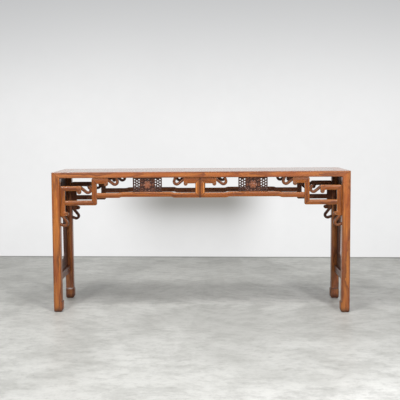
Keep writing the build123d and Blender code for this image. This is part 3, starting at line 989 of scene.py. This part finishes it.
# The tails are darker, with dust and painted shade.
tail_crown, tail_shade_and_dust = 0.3 * mm, 0.6
tip_angle = 20
knob_radius = 12 * mm
knob_drop = 39 * mm
knob_gap = 0.6 * mm
knob_proud = 0.9 * mm
knob_base = 6 * mm
knob_round = 4 * mm
knob_pitch = 5.2 * mm
groove_half_depth, groove_ends = 0.55 * mm, 0.93
knob_shares = np.array([1.0, 0.985, 0.94, 0.86, 0.76, 0.66, 0.56, 0.46, 0.37, 0.28, 0.2, 0.12])
print("half an apron is", round((centre - leg_size) / mm), "mm long")


# %% Scroll ends
def scroll_frame(origin, onward, inward):
    """Function that turns (p, q) points into the apron's (x, z) points."""
    origin, onward, inward = (np.array(vector) for vector in (origin, onward, inward))
    return lambda points: origin + points[:, :1] * onward + points[:, 1:] * inward


def tail_edges():
    """The two edges of the tail: a slanted run, a turn round the curl, a run back to q = 0."""
    middle = np.array([scroll_reach - scroll_radius, scroll_rise])
    inner = scroll_radius - tail
    slant = math.degrees(math.atan2(*middle[::-1]) + math.asin(inner / np.hypot(*middle)))
    root = tail / math.cos(math.radians(slant))
    edges = []
    for radius, start in ((inner, 0.0), (scroll_radius, root)):
        curl = arc(middle, radius, slant + 90, -tip_angle, 22)
        seat = (curl[-1, 0] - curl[-1, 1] * math.tan(math.radians(tip_angle)), 0.0)
        edges.append(path(line((-tail_root, start), curl[0], 6), curl, line(curl[-1], seat, 3)))
    return edges


def free_edge(reach, wide):
    """Free side of a bar that is reach long: straight, a small hollow, then round the volute."""
    hollow = knob_drop - wide
    foot = -2 * knob_radius - hollow
    return path(
        line((-reach, wide), (foot, wide), 2),
        arc((foot, knob_drop), hollow, -90, 0, 5),
        arc((-knob_radius, knob_drop), knob_radius, 180, 0, 20),
    )


def volute(place):
    """The small volute as a dome on a polar grid, with a spiral groove from its rim to its middle.

    The groove follows radius / pitch - angle / 360, so it winds in by one pitch at each turn.
    """
    radius = knob_radius - knob_gap
    share = knob_shares[:, None]
    angle = np.radians(np.arange(0, 360, 10))[None, :]
    groove = np.cos(2 * np.pi * (share * radius / knob_pitch - angle / (2 * np.pi)))
    cut = groove_half_depth * (groove + 1) * (share < groove_ends)
    sunk = fall((1 - share) * radius, knob_round) + cut
    p = -knob_radius + share * radius * np.cos(angle)
    q = knob_drop + share * radius * np.sin(angle)
    x, z = place(np.stack([p.ravel(), q.ravel()], axis=1)).T.reshape(2, *p.shape)
    dome = np.stack([x, apron_recess - knob_proud + sunk * np.ones_like(p), z], axis=-1)
    base = dome[:1].copy()
    base[..., 1] = apron_recess + knob_base
    points, faces = loft(np.concatenate([base, dome]))
    crest = (np.clip(0.5 - groove / 2, 0, 1) * np.ones_like(p)).ravel()
    rub_and_shading = np.concatenate([np.zeros(p.shape[1]), crest, [0, 1]])
    # The crest of the spiral is rubbed, with a painted highlight; the rest, most of all the groove,
    # is darker with dust and painted shade.
    return Shell(points, faces, rub_and_shading * 0.7, 1 - rub_and_shading * 0.6)


def scroll_shells(place):
    """Tail and volute of one scroll end."""
    inner, outer = (place(edge) for edge in tail_edges())
    edges = [(inner, tail_round), (outer, tail_round)]
    front = apron_recess + tail_recess
    curl = slab(inner, outer, front, apron_back, edges, crown=tail_crown, shade_and_dust=tail_shade_and_dust)
    return [curl, volute(place)]


print("tail", [len(edge) for edge in tail_edges()], "points on its edges")

# %% [markdown]
# ## Bars of an apron
#
# On the real aprons each bar is a stick with a rounded front, and its scroll is sawn from the same
# stick. So a bar with a scroll is one slab that runs from its mitre to the scroll, with the tail
# and the volute as two more shells of the same piece. The other bars are slabs alone. The apron is
# drawn once, for the front left, and mirrored to the other three places.


# %% Bars that end in a scroll
def bend(middle, start, stop):
    """Half of the rounded outer corner of a mitre."""
    return arc(middle, bend_round, start, stop, 4)


def scroll_bar(place, reach, wide, wall_bend, inner_corner):
    """A bar that ends in a scroll: its body, and the scroll's own shells.

    The wall edge has as many points as the free edge, level with them. Where the wall edge goes
    round its bend, the free edge creeps a fifth of its first run away from the inner corner.
    """
    tip = free_edge(reach, wide)[1:]
    wall = np.concatenate([wall_bend, place(level(tip[:, 0], 0.0))])
    tip = place(tip)
    inner_corner = np.array(inner_corner)
    creep = (line(inner_corner, tip[0], len(wall_bend))[:-1] - inner_corner) * 0.2
    free = np.concatenate([inner_corner + creep, tip])
    mitre, end = np.stack([wall[0], free[0]]), np.stack([wall[-1], free[-1]])
    edges = [(wall, bar_round), (free, bar_round), (end, bar_round), (mitre, seam)]
    return [slab(wall, free, apron_recess, apron_back, edges), *scroll_shells(place)]


frame_bend = (frame_left + bend_round, frame_top - bend_round)
frame_corner = (frame_right, frame_top - bar)
post_bend = (post_left + bend_round, rail_under - bend_round)
post_corner = (post_right, rail_under - upper_bar)
centre_corner = (centre_left, rail_under - upper_bar)
down, right, left = ((0, -1), (1, 0)), ((1, 0), (0, -1)), ((-1, 0), (0, -1))
apron = {
    "corner_bar": scroll_bar(
        scroll_frame((frame_left, corner_end), *down),
        corner_bar_reach, bar, bend(frame_bend, 135, 180), frame_corner,
    ),
    "corner_scroll_bar": scroll_bar(
        scroll_frame((top_bar_end, frame_top), *right),
        top_bar_reach, bar, bend(frame_bend, 135, 90), frame_corner,
    ),
    "outer_scroll_bar": scroll_bar(
        scroll_frame((outer_scroll_end, rail_under), *right),
        rail_bar_reach, upper_bar, bend(post_bend, 135, 90), post_corner,
    ),
    "inner_scroll_bar": scroll_bar(
        scroll_frame((inner_scroll_end, rail_under), *left),
        rail_bar_reach, upper_bar, level([centre, centre - 4 * mm], rail_under), centre_corner,
    ),
}
print("bars with scrolls", ", ".join(apron))

# %% Bars with two mitres
mitre_near = 6 * mm
long_bar_back_darkening = 0.35
post_width = centre - centre_left
post_round, post_joint_round, post_crown = 3 * mm, 2.6 * mm, 0.5 * mm
post_highlight_at = 8 * mm, 24 * mm
low_bend = (post_right - bend_round, lower_bottom + bend_round)


def framed(first, second):
    """A bar with two moulded edges and a joint line at each end."""
    ends = [np.stack([first[end], second[end]]) for end in (0, -1)]
    edges = [(first, bar_round), (second, bar_round), *((end, seam) for end in ends)]
    return slab(first, second, apron_recess, apron_back, edges)


def lower_bar():
    """The level bar from the corner bar to the drop post, with a rounded corner below."""
    turned = (low_bend[0], lower_bottom)
    under = path(line((frame_right, lower_bottom), turned, 3), bend(low_bend, -90, -45))
    near = (post_left - mitre_near, lower_top)
    over = path(line((frame_right, lower_top), near, 3), line(near, (post_left, lower_top), 4))
    return framed(over, under)


def drop_post():
    """The upright from the lower bar to the rail, with a rounded corner at either end."""
    near = (post_left, lower_top + mitre_near)
    on_left = path(
        line((post_left, lower_top), near, 4),
        line(near, (post_left, post_bend[1]), 3),
        bend(post_bend, 180, 135),
    )
    near = (post_right, post_corner[1] - mitre_near)
    on_right = path(
        bend(low_bend, -45, 0), line((post_right, low_bend[1]), near, 3), line(near, post_corner, 4)
    )
    return framed(on_left, on_right)


def long_bar():
    """The long bar, which rises by a smooth step, stays level and falls again.

    Its inner side, which on the back apron faces the front, is less darkened than that of other
    bars.
    """
    slope = hump_slope / 4 * np.arange(-2, 3)
    x = np.concatenate([[post_right], hump_in + slope, hump_out + slope])
    ease = np.concatenate([[0], hump_ease, hump_ease[::-1], [0]]) * hump_rise
    over = np.stack([np.append(x, centre_left), ease + long_top], axis=1)
    under = np.stack([np.append(x, centre), ease + long_bottom], axis=1)
    shell = framed(over, under)
    behind = shell.points[:, 1] > apron_back - 1.5 * mm
    shell.dust = np.where(behind, long_bar_back_darkening, shell.dust)
    return shell


def centre_post():
    """Half of the double post in the middle: a slab whose right edge is the joint of the pair.

    Dust lies in that joint and along the outer edge, and two painted highlight lines run beside
    them.
    """
    point = centre - 0.6 * mm
    on_left = [(point, rail_under), centre_corner, (centre_left, long_top), (point, long_bottom)]
    on_left = np.array(on_left)
    on_right = on_left.copy()
    on_right[:, 0] = centre
    edges = [(on_left[1:3], post_round), (on_right, post_joint_round)]
    edges += [(on_left[:2], seam), (on_left[2:], seam)]
    post = slab(on_left, on_right, apron_recess, apron_back, edges, crown=post_crown)
    inward = centre - post.points[:, 0]
    dust = 0.85 * np.exp(-((inward / (5 * mm)) ** 4)) + 0.9 * bell(inward - post_width, 2 * mm)
    post.dust = np.where(post.points[:, 1] > apron_back - 1 * mm, 0.8, np.clip(dust, 0, 1))
    near_joint, near_edge = (bell(inward - at, 2.4 * mm) for at in post_highlight_at)
    post.rub_and_shading = 1.2 * near_joint + near_edge
    return post


for make in (lower_bar, drop_post, long_bar, centre_post):
    apron[make.__name__] = [make()]
for name, shells in apron.items():
    print(name, sum(len(shell.points) for shell in shells), "points")

# %% The four half aprons
upright_bars = ("corner_bar", "drop_post", "centre_post")
for side, face in corners:
    for name, shells in apron.items():
        placed = [shell.moved(to_corner(side, face)) for shell in shells]
        piece(f"{name}_{face}_{side}", "fret_wood", placed, "z" if name in upright_bars else "x")
print(len(pieces_made), "pieces so far")

# %% [markdown]
# ## Boards and stretchers of the short sides
#
# Each short side has a low stretcher, and above it a ring of four thin boards let into the legs.
# The opening that they leave has round corners. One list of four corners gives all four boards:
# each board runs from the middle of one rounded corner to the middle of the next, so the mitres
# fall where a joiner puts them.

# %% Side boards
board_front = 4 * mm
board_back = 16 * mm
board_reach = 3 * mm
board_round = 2.2 * mm
board_hidden_round = 0.3 * mm
opening_round = 34 * mm
opening_low, opening_high = 66 * mm, 96 * mm
opening_in_low, opening_in_high = 88 * mm, 106 * mm
# The side boards are darkened further with painted shade.
board_painted_shade = 0.15
stretcher_low = 178 * mm
stretcher_top = 224 * mm
stretcher_face = 2.5 * mm
stretcher_width = 28 * mm


def rounded_corner(before, corner, after, radius, steps=12):
    """Points of the circle that touches both sides of a corner.

    Its middle lies on the line that halves the corner, radius / sin(half angle) away.
    """
    runs = [np.subtract(side, corner) for side in (before, after)]
    sides = [run / np.hypot(*run) for run in runs]
    half = math.acos(float(sides[0] @ sides[1])) / 2
    halving = sides[0] + sides[1]
    middle = np.array(corner) + halving / np.hypot(*halving) * radius / math.sin(half)
    touching = [np.array(corner) + side * radius / math.tan(half) - middle for side in sides]
    start, stop = (math.atan2(spot[1], spot[0]) for spot in touching)
    turn = (stop - start + math.pi) % (2 * math.pi) - math.pi
    return arc(middle, radius, math.degrees(start), math.degrees(start + turn), steps)


def side_boards():
    """The four boards of a short side in (y, z), by the names of their places."""
    near, far = leg_size, depth - leg_size
    low, high = stretcher_top + opening_low, rail_under - opening_high
    opening = [(near + opening_in_low, low), (far - opening_in_low, low)]
    opening += [(far - opening_in_high, high), (near + opening_in_high, high)]
    y = near - board_reach, far + board_reach
    z = stretcher_top - board_reach, rail_under + board_reach
    rim = [(y[0], z[0]), (y[1], z[0]), (y[1], z[1]), (y[0], z[1])]
    turns = [(opening[i - 1], opening[i], opening[(i + 1) % 4]) for i in range(4)]
    bends = [rounded_corner(*turn, opening_round) for turn in turns]
    half = len(bends[0]) // 2
    boards = {}
    for i, name in enumerate(("bottom_board", "back_stile", "top_board", "front_stile")):
        following = (i + 1) % 4
        straight = line(bends[i][-1], bends[following][0], 8)[1:-1]
        inner = np.concatenate([bends[i][half:], straight, bends[following][: half + 1]])
        run = np.concatenate([[0], np.cumsum(np.hypot(*np.diff(inner, axis=0).T))])
        share = (run / run[-1])[:, None]
        outer = np.array(rim[i]) * (1 - share) + np.array(rim[following]) * share
        edges = [(inner, board_round), (outer, board_hidden_round)]
        edges += [(np.stack([outer[end], inner[end]]), seam) for end in (0, -1)]
        boards[name] = slab(outer, inner, board_front, board_back, edges, 0.0, board_painted_shade)
    return boards


def stretcher_shell():
    """A side stretcher: a rounded bar along y between the legs."""
    u, v, du, dv, edge = rounded_outline()
    run = depth - 2 * leg_size
    station = stations(run, np.array([0, 0.6, 3]) * mm, 12)[:, None]
    sink = np.where((station == 0) | (station == run), seam, 0.0)
    wide, high = stretcher_width - 2 * edge_round, stretcher_top - stretcher_low - 2 * edge_round
    x = stretcher_face + edge_round + u * wide + (edge_round - sink) * du
    z = stretcher_low + edge_round + v * high + (edge_round - sink) * dv
    points, faces = loft(np.stack([x, leg_size + station + 0 * x, z], axis=-1))
    from_leg = np.minimum(points[:, 1] - leg_size, depth - leg_size - points[:, 1])
    # The stretcher is darker all over, and most where it meets the legs.
    dust = 0.25 + np.clip(1 - from_leg / (3 * mm), 0, 1) * 0.5
    return Shell(points, faces, loft_wear_and_shading(edge, len(station)), dust)


boards = {name: shell.moved(swapped) for name, shell in side_boards().items()}
stretcher = stretcher_shell()
for side in ("left", "right"):
    place = to_corner(side, "front")
    for name, shell in boards.items():
        along = "z" if "stile" in name else "y"
        piece(f"side_{name}_{side}", "side_wood", [shell.moved(place)], along)
    piece(f"side_stretcher_{side}", "side_wood", [stretcher.moved(place)], "y")
print("side boards", {name: len(shell.points) for name, shell in boards.items()})

# %% [markdown]
# ## Carving
#
# Two blocks stand between the long bars and the rail. Each has a flower with leaves in the middle
# and a lattice of small round holes at both ends. Carving can be sculpted by hand, but a relief
# that repeats is easier to write as a height over a grid: petals are waves round the flower's
# middle, and a leaf is a dome on an ellipse with a groove down it.

# %% Sizes of the carved blocks
block_right = centre - 235 * mm
block_left = block_right - 178 * mm
block_low = long_top + hump_rise
block_front = 12 * mm
block_back = 32 * mm
block_cell = 1.2 * mm
block_rim = 4 * mm
medallion_half = 44 * mm
carving_scale = 1.5
hole_radius = 4.8 * mm
hole_columns, hole_rows = 3, 5


def lattice_holes():
    """Middles of the holes in the two end fields: every second column stands half a step lower."""
    field = (block_right - block_left) / 2 - medallion_half - block_rim
    step_x = field / hole_columns
    step_z = (rail_under - block_low - 2 * block_rim) / hole_rows
    columns = []
    for start in (block_left + block_rim, block_right - block_rim - field):
        for column in range(hole_columns):
            staggered = column % 2
            row = np.arange(hole_rows - staggered) + 0.5 + staggered / 2
            z = block_low + block_rim + step_z * row
            columns.append(np.stack([np.full_like(z, start + step_x * (column + 0.5)), z], axis=1))
    return np.concatenate(columns)


print(len(lattice_holes()), "holes")


# %% The relief
outer_reach, inner_reach, bead_reach = 29, 13.5, 4.6
leaf_at, leaf_reach = 34.5, (7.0, 14.5)
sprig_at, sprig_reach = (12, 34.5), (9.5, 5.0)
scroll_at, scroll_ring = (32.5, 28.5), 7.6
ridges_at = 1.5, 5.2
edge_band = 3.0
block_round = 1.6


def dome(x, z, reach_x, reach_z):
    """A dome over an ellipse: the root of 1 - (x / reach)2 - (z / reach)2, and 0 outside."""
    return np.clip(1 - (x / reach_x) ** 2 - (z / reach_z) ** 2, 0, 1) ** 0.5


def petals(radius, wave, reach, hollow):
    """Petals from 0 to 1: full in the middle, and falling to 0 at a reach that waves round it."""
    outline = reach * (1 - hollow + hollow * np.abs(wave) ** 0.7)
    return np.clip(1 - (radius / outline) ** 3, 0, 1) ** 0.5


def flower(x, z):
    """Two rings of six petals, the inner one turned by half a petal, round a bead.

    The petals part where the wave of their own ring is 0, and the outer ones have a vein too.
    """
    radius, angle = np.hypot(x, z), np.arctan2(z, x)
    wave, other = np.cos(3 * angle), np.sin(3 * angle)
    outer = petals(radius, wave, outer_reach, 0.28)
    inner = petals(radius, other, inner_reach, 0.26)
    relief = 2.5 * outer - 1.3 * outer * bell(wave, 0.28) * (radius > 6)
    relief -= 0.7 * outer * bell(other, 0.16) * (radius > 9)
    relief = np.maximum(relief, 2.7 * inner - 1.1 * inner * bell(other, 0.3) * (radius > 4))
    return np.maximum(relief, 3.0 * dome(x, z, bead_reach, bead_reach))


def carving(x, z, gap):
    """Height of the relief in millimetres over (x, z) from the block's middle, in millimetres.

    Leaves stand beside the flower and sprigs above and below it, each a dome with a groove down
    its middle. Scrolls are a ridge on a circle round a bead, once in each corner. The lattice is
    two ridges round every hole. Raised bands frame the medallion and the block.
    """
    side, up = np.abs(x), np.abs(z)
    leaf = dome(side - leaf_at, up, *leaf_reach) * (2.0 - 0.9 * bell(side - leaf_at, 1.0))
    sprig = dome(side - sprig_at[0], up - sprig_at[1], *sprig_reach)
    sprig = sprig * (1.9 - 0.8 * bell(up - sprig_at[1], 0.9))
    away = np.hypot(side - scroll_at[0], up - scroll_at[1])
    scroll = np.maximum(2.0 * bell(away - scroll_ring, 1.9), 1.9 * bell(away, 2.5))
    medallion = np.maximum.reduce([flower(x, z), leaf, sprig, scroll]) - 0.9
    ridge = 1.7 * bell(gap - ridges_at[0], 1.15) + 0.9 * bell(gap - ridges_at[1], 1.1) - 0.7
    half_x, half_z = (block_right - block_left) / 2 / mm, (rail_under - block_low) / 2 / mm
    edge = np.minimum(half_x - side, half_z - up)
    half = medallion_half / mm
    relief = np.where(side < half, medallion, ridge)
    relief = np.maximum(relief, 0.9 * np.exp(-((np.abs(side - half) / 1.5) ** 4)))
    relief = np.maximum(relief, 1.0 / (1 + np.exp((edge - edge_band) * 4)))
    return carving_scale * relief - fall(edge, block_round)


heights = carving(*np.meshgrid(np.arange(-40.0, 41.0), np.arange(-40.0, 41.0)), 9.0)
print("relief from", round(heights.min(), 1), "to", round(heights.max(), 1), "mm")

# %% [markdown]
# ## Pierced blocks
#
# The holes could be cut with a Boolean, but many cuts through fine carving are slow and leave
# slivers. Where a hole is, the cells of the grid are left out instead, and the points round it are
# moved onto the circle, so the hole is round although the grid is square. Walls close the block
# round its outside and in each hole.


# %% Carved blocks
def cell_corners(grid):
    """The four corners of every cell of a grid, in turn."""
    return [grid[:-1, :-1], grid[1:, :-1], grid[1:, 1:], grid[:-1, 1:]]


def block_grid():
    """Points (x, z) of a block's grid, their distance to the nearest hole, and its solid cells.

    A cell is left out where its corners lie inside a hole, taken together. A point between solid
    and open cells moves to the circle along the line from the hole's middle.
    """
    columns = int(round((block_right - block_left) / block_cell))
    rows = int(round((rail_under - block_low) / block_cell))
    across = np.linspace(block_left, block_right, columns + 1)
    upward = np.linspace(block_low, rail_under, rows + 1)
    x, z = np.meshgrid(across, upward, indexing="ij")
    offset = np.stack([x, z], axis=-1)[:, :, None] - lattice_holes()
    away = np.hypot(offset[..., 0], offset[..., 1])
    nearest = away.argmin(axis=2)[..., None, None]
    gap = away.min(axis=2) - hole_radius
    solid = sum(cell_corners(gap)) > 0
    touching = np.stack(cell_corners(np.pad(solid, 1)))
    rim = touching.any(axis=0) & ~touching.all(axis=0)
    rim[[0, -1]] = rim[:, [0, -1]] = False
    out = np.take_along_axis(offset, nearest, axis=2)[:, :, 0] / (gap + hole_radius)[..., None]
    x = np.where(rim, x - out[..., 0] * gap, x)
    z = np.where(rim, z - out[..., 1] * gap, z)
    return x, z, np.where(rim, 0.0, gap), solid


def block_faces(solid):
    """Faces of a block: its cells in front and behind, and a wall where a solid cell ends.

    The points behind are numbered after those in front.
    """
    number = np.arange((solid.shape[0] + 1) * (solid.shape[1] + 1)).reshape(solid.shape[0] + 1, -1)
    count = number.size

    def wall(first, second, where):
        """Quads between neighbouring points in front and the same two behind."""
        return np.stack([first, second, second + count, first + count], axis=-1)[where]

    around = np.pad(solid, 1)
    cells = np.stack(cell_corners(number), axis=-1)[solid]
    before, after = around[:-1, 1:-1], around[1:, 1:-1]
    under, over = around[1:-1, :-1], around[1:-1, 1:]
    low, high = number[:, :-1], number[:, 1:]
    left, right = number[:-1], number[1:]
    return [
        cells,
        cells[:, ::-1] + count,
        wall(low, high, ~before & after),
        wall(high, low, before & ~after),
        wall(right, left, ~under & over),
        wall(left, right, under & ~over),
    ]


def block_shell():
    """A closed block: a relief in front, a flat back, and only the points that faces use."""
    x, z, gap, solid = block_grid()
    middle = (block_left + block_right) / 2, (block_low + rail_under) / 2
    relief = carving((x - middle[0]) / mm, (z - middle[1]) / mm, gap / mm)
    depths = block_front - relief * mm, np.full_like(x, block_back)
    sheets = [np.stack([x, y, z], axis=-1) for y in depths]
    faces = block_faces(solid)
    used, renumbered = np.unique(np.concatenate([f.ravel() for f in faces]), return_inverse=True)
    splits = np.cumsum([block.size for block in faces])[:-1]
    faces = [part.reshape(-1, 4) for part in np.split(renumbered.ravel(), splits)]
    relief = relief.ravel()
    field = np.abs(x - middle[0]).ravel() > medallion_half
    # Raised carving is paler, rubbed and a painted highlight; recesses and the lattice fields are
    # darker, with dust and painted shade.
    rub_and_shading = np.clip((relief - 0.4) / 2.0, 0, 1) * np.where(field, 0.1, 0.3)
    dust = np.clip(np.clip(1.0 - relief, 0, 1) * 1.2 + np.where(field, 0.7, 0.0), 0, 1)
    rub_and_shading = np.concatenate([rub_and_shading, np.zeros(x.size)])[used]
    dust = np.concatenate([dust, np.full(x.size, 0.7)])[used]
    return Shell(np.concatenate(sheets).reshape(-1, 3)[used], faces, rub_and_shading, dust)


block = block_shell()
for side in ("left", "right"):
    placed = block.moved(to_corner(side, "front"))
    piece(f"pierced_block_{side}", "carved_wood", [placed], "x")
print("carved block", len(block.points), "points")

# %% [markdown]
# ## Floor and wall
#
# A plain pale floor takes the shadow, and a plain wall behind gives the horizon. A flat colour
# would look like paper, so the floor is polished concrete: clouds, trowel marks, grit and specks,
# each a noise of its own size. The wall is only seen from its front, so a view from the back isn't
# blocked, and it shows its own paint to the camera, whatever light falls on it. A soft painted
# shadow on it, under the aprons, is part of that paint, and so is painted shade high up, at its
# foot and towards both sides. A dark line of painted shade lies on the floor along its foot.

# %% Floor
wall_at = 2.05
room = 14.0
wall_height = 6.0
lean = 0.0325 * room


def layered(tree, tone, layers):
    """A colour with others mixed over it in turn, each by its own amount from 0 to 1."""
    for amount, colour in layers:
        tone = tree.mix(amount, tone, paint(*colour))
    return tone


def poured_floor():
    """Poured and polished concrete: cloudy patches, trowel marks along the wall, specks and pits.

    It is palest far to the right and in front, and a dark line of painted shade lies along the foot
    of the wall.
    """
    tree = Tree(bpy.data.materials.new("poured_floor"))
    place = tree.node("ShaderNodeTexCoord", output="Object")
    x, y, _ = tree.parts(place)
    broad = tree.noise(place, (1.0, 0.8, 1.0), 4.0, 0.62)
    trowel = tree.noise(place, (4.0, 4.6, 1.0), 7.0, 0.74)
    grit = tree.noise(place, (15.0, 20.0, 1.0), 6.0, 0.78)
    speck = tree.noise(place, (9.0, 11.0, 1.0), 4.0, 0.65)
    to_wall = wall_at - y - x * (lean / room)
    tone = layered(tree, paint(206, 206, 201), (
        (tree.step(y * -1.0 + x * 0.45, -0.9, 1.5), (207, 207, 203)),
        (tree.step(x * 0.8 - y, 1.6, 3.0), (234, 234, 231)),
        (tree.step(broad, 0.42, 0.62) * 0.34, (136, 136, 130)),
        (tree.step(trowel, 0.42, 0.64) * 0.36, (146, 146, 141)),
        (tree.step(grit, 0.44, 0.70) * 0.36, (132, 132, 127)),
        (tree.step(speck, 0.69, 0.76) * 0.70, (88, 88, 84)),
        # Painted shade: a dark line along the foot of the wall.
        ((1.0 - tree.step(to_wall, 0.02, 0.10)) * 0.55, (70, 70, 66)),
    ))
    surface = {"Base Color": tone, "Roughness": trowel * 0.3 + 0.31, "Specular IOR Level": 0.35}
    return tree.finish(tree.node("ShaderNodeBsdfPrincipled", {}, surface))


def flat_sheet(name, rim, material):
    """One large rectangle of the stage."""
    mesh = bpy.data.meshes.new(name)
    mesh.from_pydata(rim, [], [(0, 1, 2, 3)])
    mesh.materials.append(material)
    sheet = in_scene(name, mesh)
    return sheet


floor_rim = [(-room, -room, 0), (room, -room, 0), (room, room, 0), (-room, room, 0)]
flat_sheet("floor", floor_rim, poured_floor())
print("floor", 2 * room, "m wide")


# %% Wall
shade_top, shade_reach = 0.51, 0.183
shade_starts, shade_stops = (-0.96, -0.27), (0.18, 0.68)


def seen_straight(tree):
    """1 for rays from the camera, off a gloss or through glass, 0 for all that carry light."""
    rays = ("Is Camera Ray", "Is Glossy Ray", "Is Transmission Ray")
    camera, glossy, through = (tree.node("ShaderNodeLightPath", output=ray) for ray in rays)
    return (camera + glossy + through).clamped()


def painted_wall():
    """A white wall: its own paint where it is looked at, lit paint for other rays, clear behind.

    The patch of shade follows 1 / (1 + t2), where t is the height below the aprons over its
    reach, and ends by smooth steps above and at both sides.
    """
    tree = Tree(bpy.data.materials.new("painted_wall"))
    place = tree.node("ShaderNodeTexCoord", output="Object")
    x, _, z = tree.parts(place)
    large = tree.noise(place, (0.9, 0.9, 0.9), 5.0, 0.6)
    fine = tree.noise(place, (9.0, 9.0, 9.0), 4.0, 0.6)
    # Painted shade: darker at the foot of the wall and towards both sides.
    low = (1.0 - tree.step(z, 0.0, 0.4)) * 0.05 + tree.step(x * x, 0.4, 4.0) * 0.06
    below = (shade_top - z) / shade_reach
    shade = (below * below + 1.0) ** -1.0 * (1.0 - tree.step(z, 0.52, 0.62))
    shade = shade * tree.step(x, *shade_starts) * (1.0 - tree.step(x, *shade_stops))
    tone = layered(tree, paint(243, 243, 243), (
        # Painted shade: the wall darkens higher up.
        (tree.step(z, 1.1, 2.7), (190, 191, 192)),
        (tree.step(large * 0.7 + fine * 0.3, 0.36, 0.66) * 0.10, (205, 206, 207)),
        (low, (118, 120, 121)),
        (shade * 0.78, (112, 109, 101)),
    ))
    glow = tree.node("ShaderNodeEmission", {}, {"Color": tone, "Strength": 1.0})
    coat = tree.node("ShaderNodeBsdfPrincipled", {}, {"Base Color": tone, "Roughness": 0.7})
    front = tree.node("ShaderNodeMixShader", {}, {0: seen_straight(tree), 1: coat, 2: glow})
    clear = tree.node("ShaderNodeBsdfTransparent")
    behind = tree.node("ShaderNodeNewGeometry", output="Backfacing")
    return tree.finish(tree.node("ShaderNodeMixShader", {}, {0: behind, 1: front, 2: clear}))


wall_ends = ((-room, wall_at + lean), (room, wall_at - lean))
wall_rim = [(*end, 0) for end in wall_ends] + [(*end, wall_height) for end in wall_ends[::-1]]
flat_sheet("wall", wall_rim, painted_wall())
print("wall", wall_height, "m high")

# %% [markdown]
# ## Light
#
# One lamp near the camera would make the bars look flat, and a strong sky would wash out their
# shadows. Two upright lamps stand in front, one on either side, so mouldings catch a narrow light,
# and a broad lamp hangs from the ceiling for the top. The sky lights only weakly, but it looks
# pale to the camera and in reflections, so a view that looks past the wall stays bright.

# %% Light
sky_light, sky_seen = 0.19, 0.84
front_lamp_size, front_lamp_aim = (0.25, 1.6), (0, 0, 0.5)
sky = Tree(bpy.data.worlds.new("soft_sky"))
strength = seen_straight(sky) * (sky_seen - sky_light) + sky_light
background = {"Color": (1.0, 1.0, 1.0, 1.0), "Strength": strength}
bpy.context.scene.world = sky.finish(
    sky.node("ShaderNodeBackground", {}, background), "ShaderNodeOutputWorld"
)


def area_lamp(name, at, towards, size, watts):
    """A large soft lamp that faces a point."""
    data = bpy.data.lights.new(name, "AREA")
    data.shape = "RECTANGLE"
    data.size, data.size_y = size
    data.energy = watts
    x, y, z = np.subtract(towards, at)
    lamp = in_scene(name, data)
    lamp.location = at
    lamp.rotation_euler = (math.atan2(math.hypot(x, y), -z), 0, math.atan2(-x, y))
    return lamp


area_lamp("left_front_light", (-1.8, -4.2, 2.3), front_lamp_aim, front_lamp_size, 76)
area_lamp("right_front_light", (1.9, -4.2, 2.3), front_lamp_aim, front_lamp_size, 100)
area_lamp("ceiling_light", (-0.15, -1.6, 3.6), (0, 0.2, 0), (2.6, 1.0), 84)
print("lamps", len(bpy.data.lights))

# %% Sizes of the scene
print("pieces", len(pieces_made), "faces", sum(count for _, count in pieces_made))
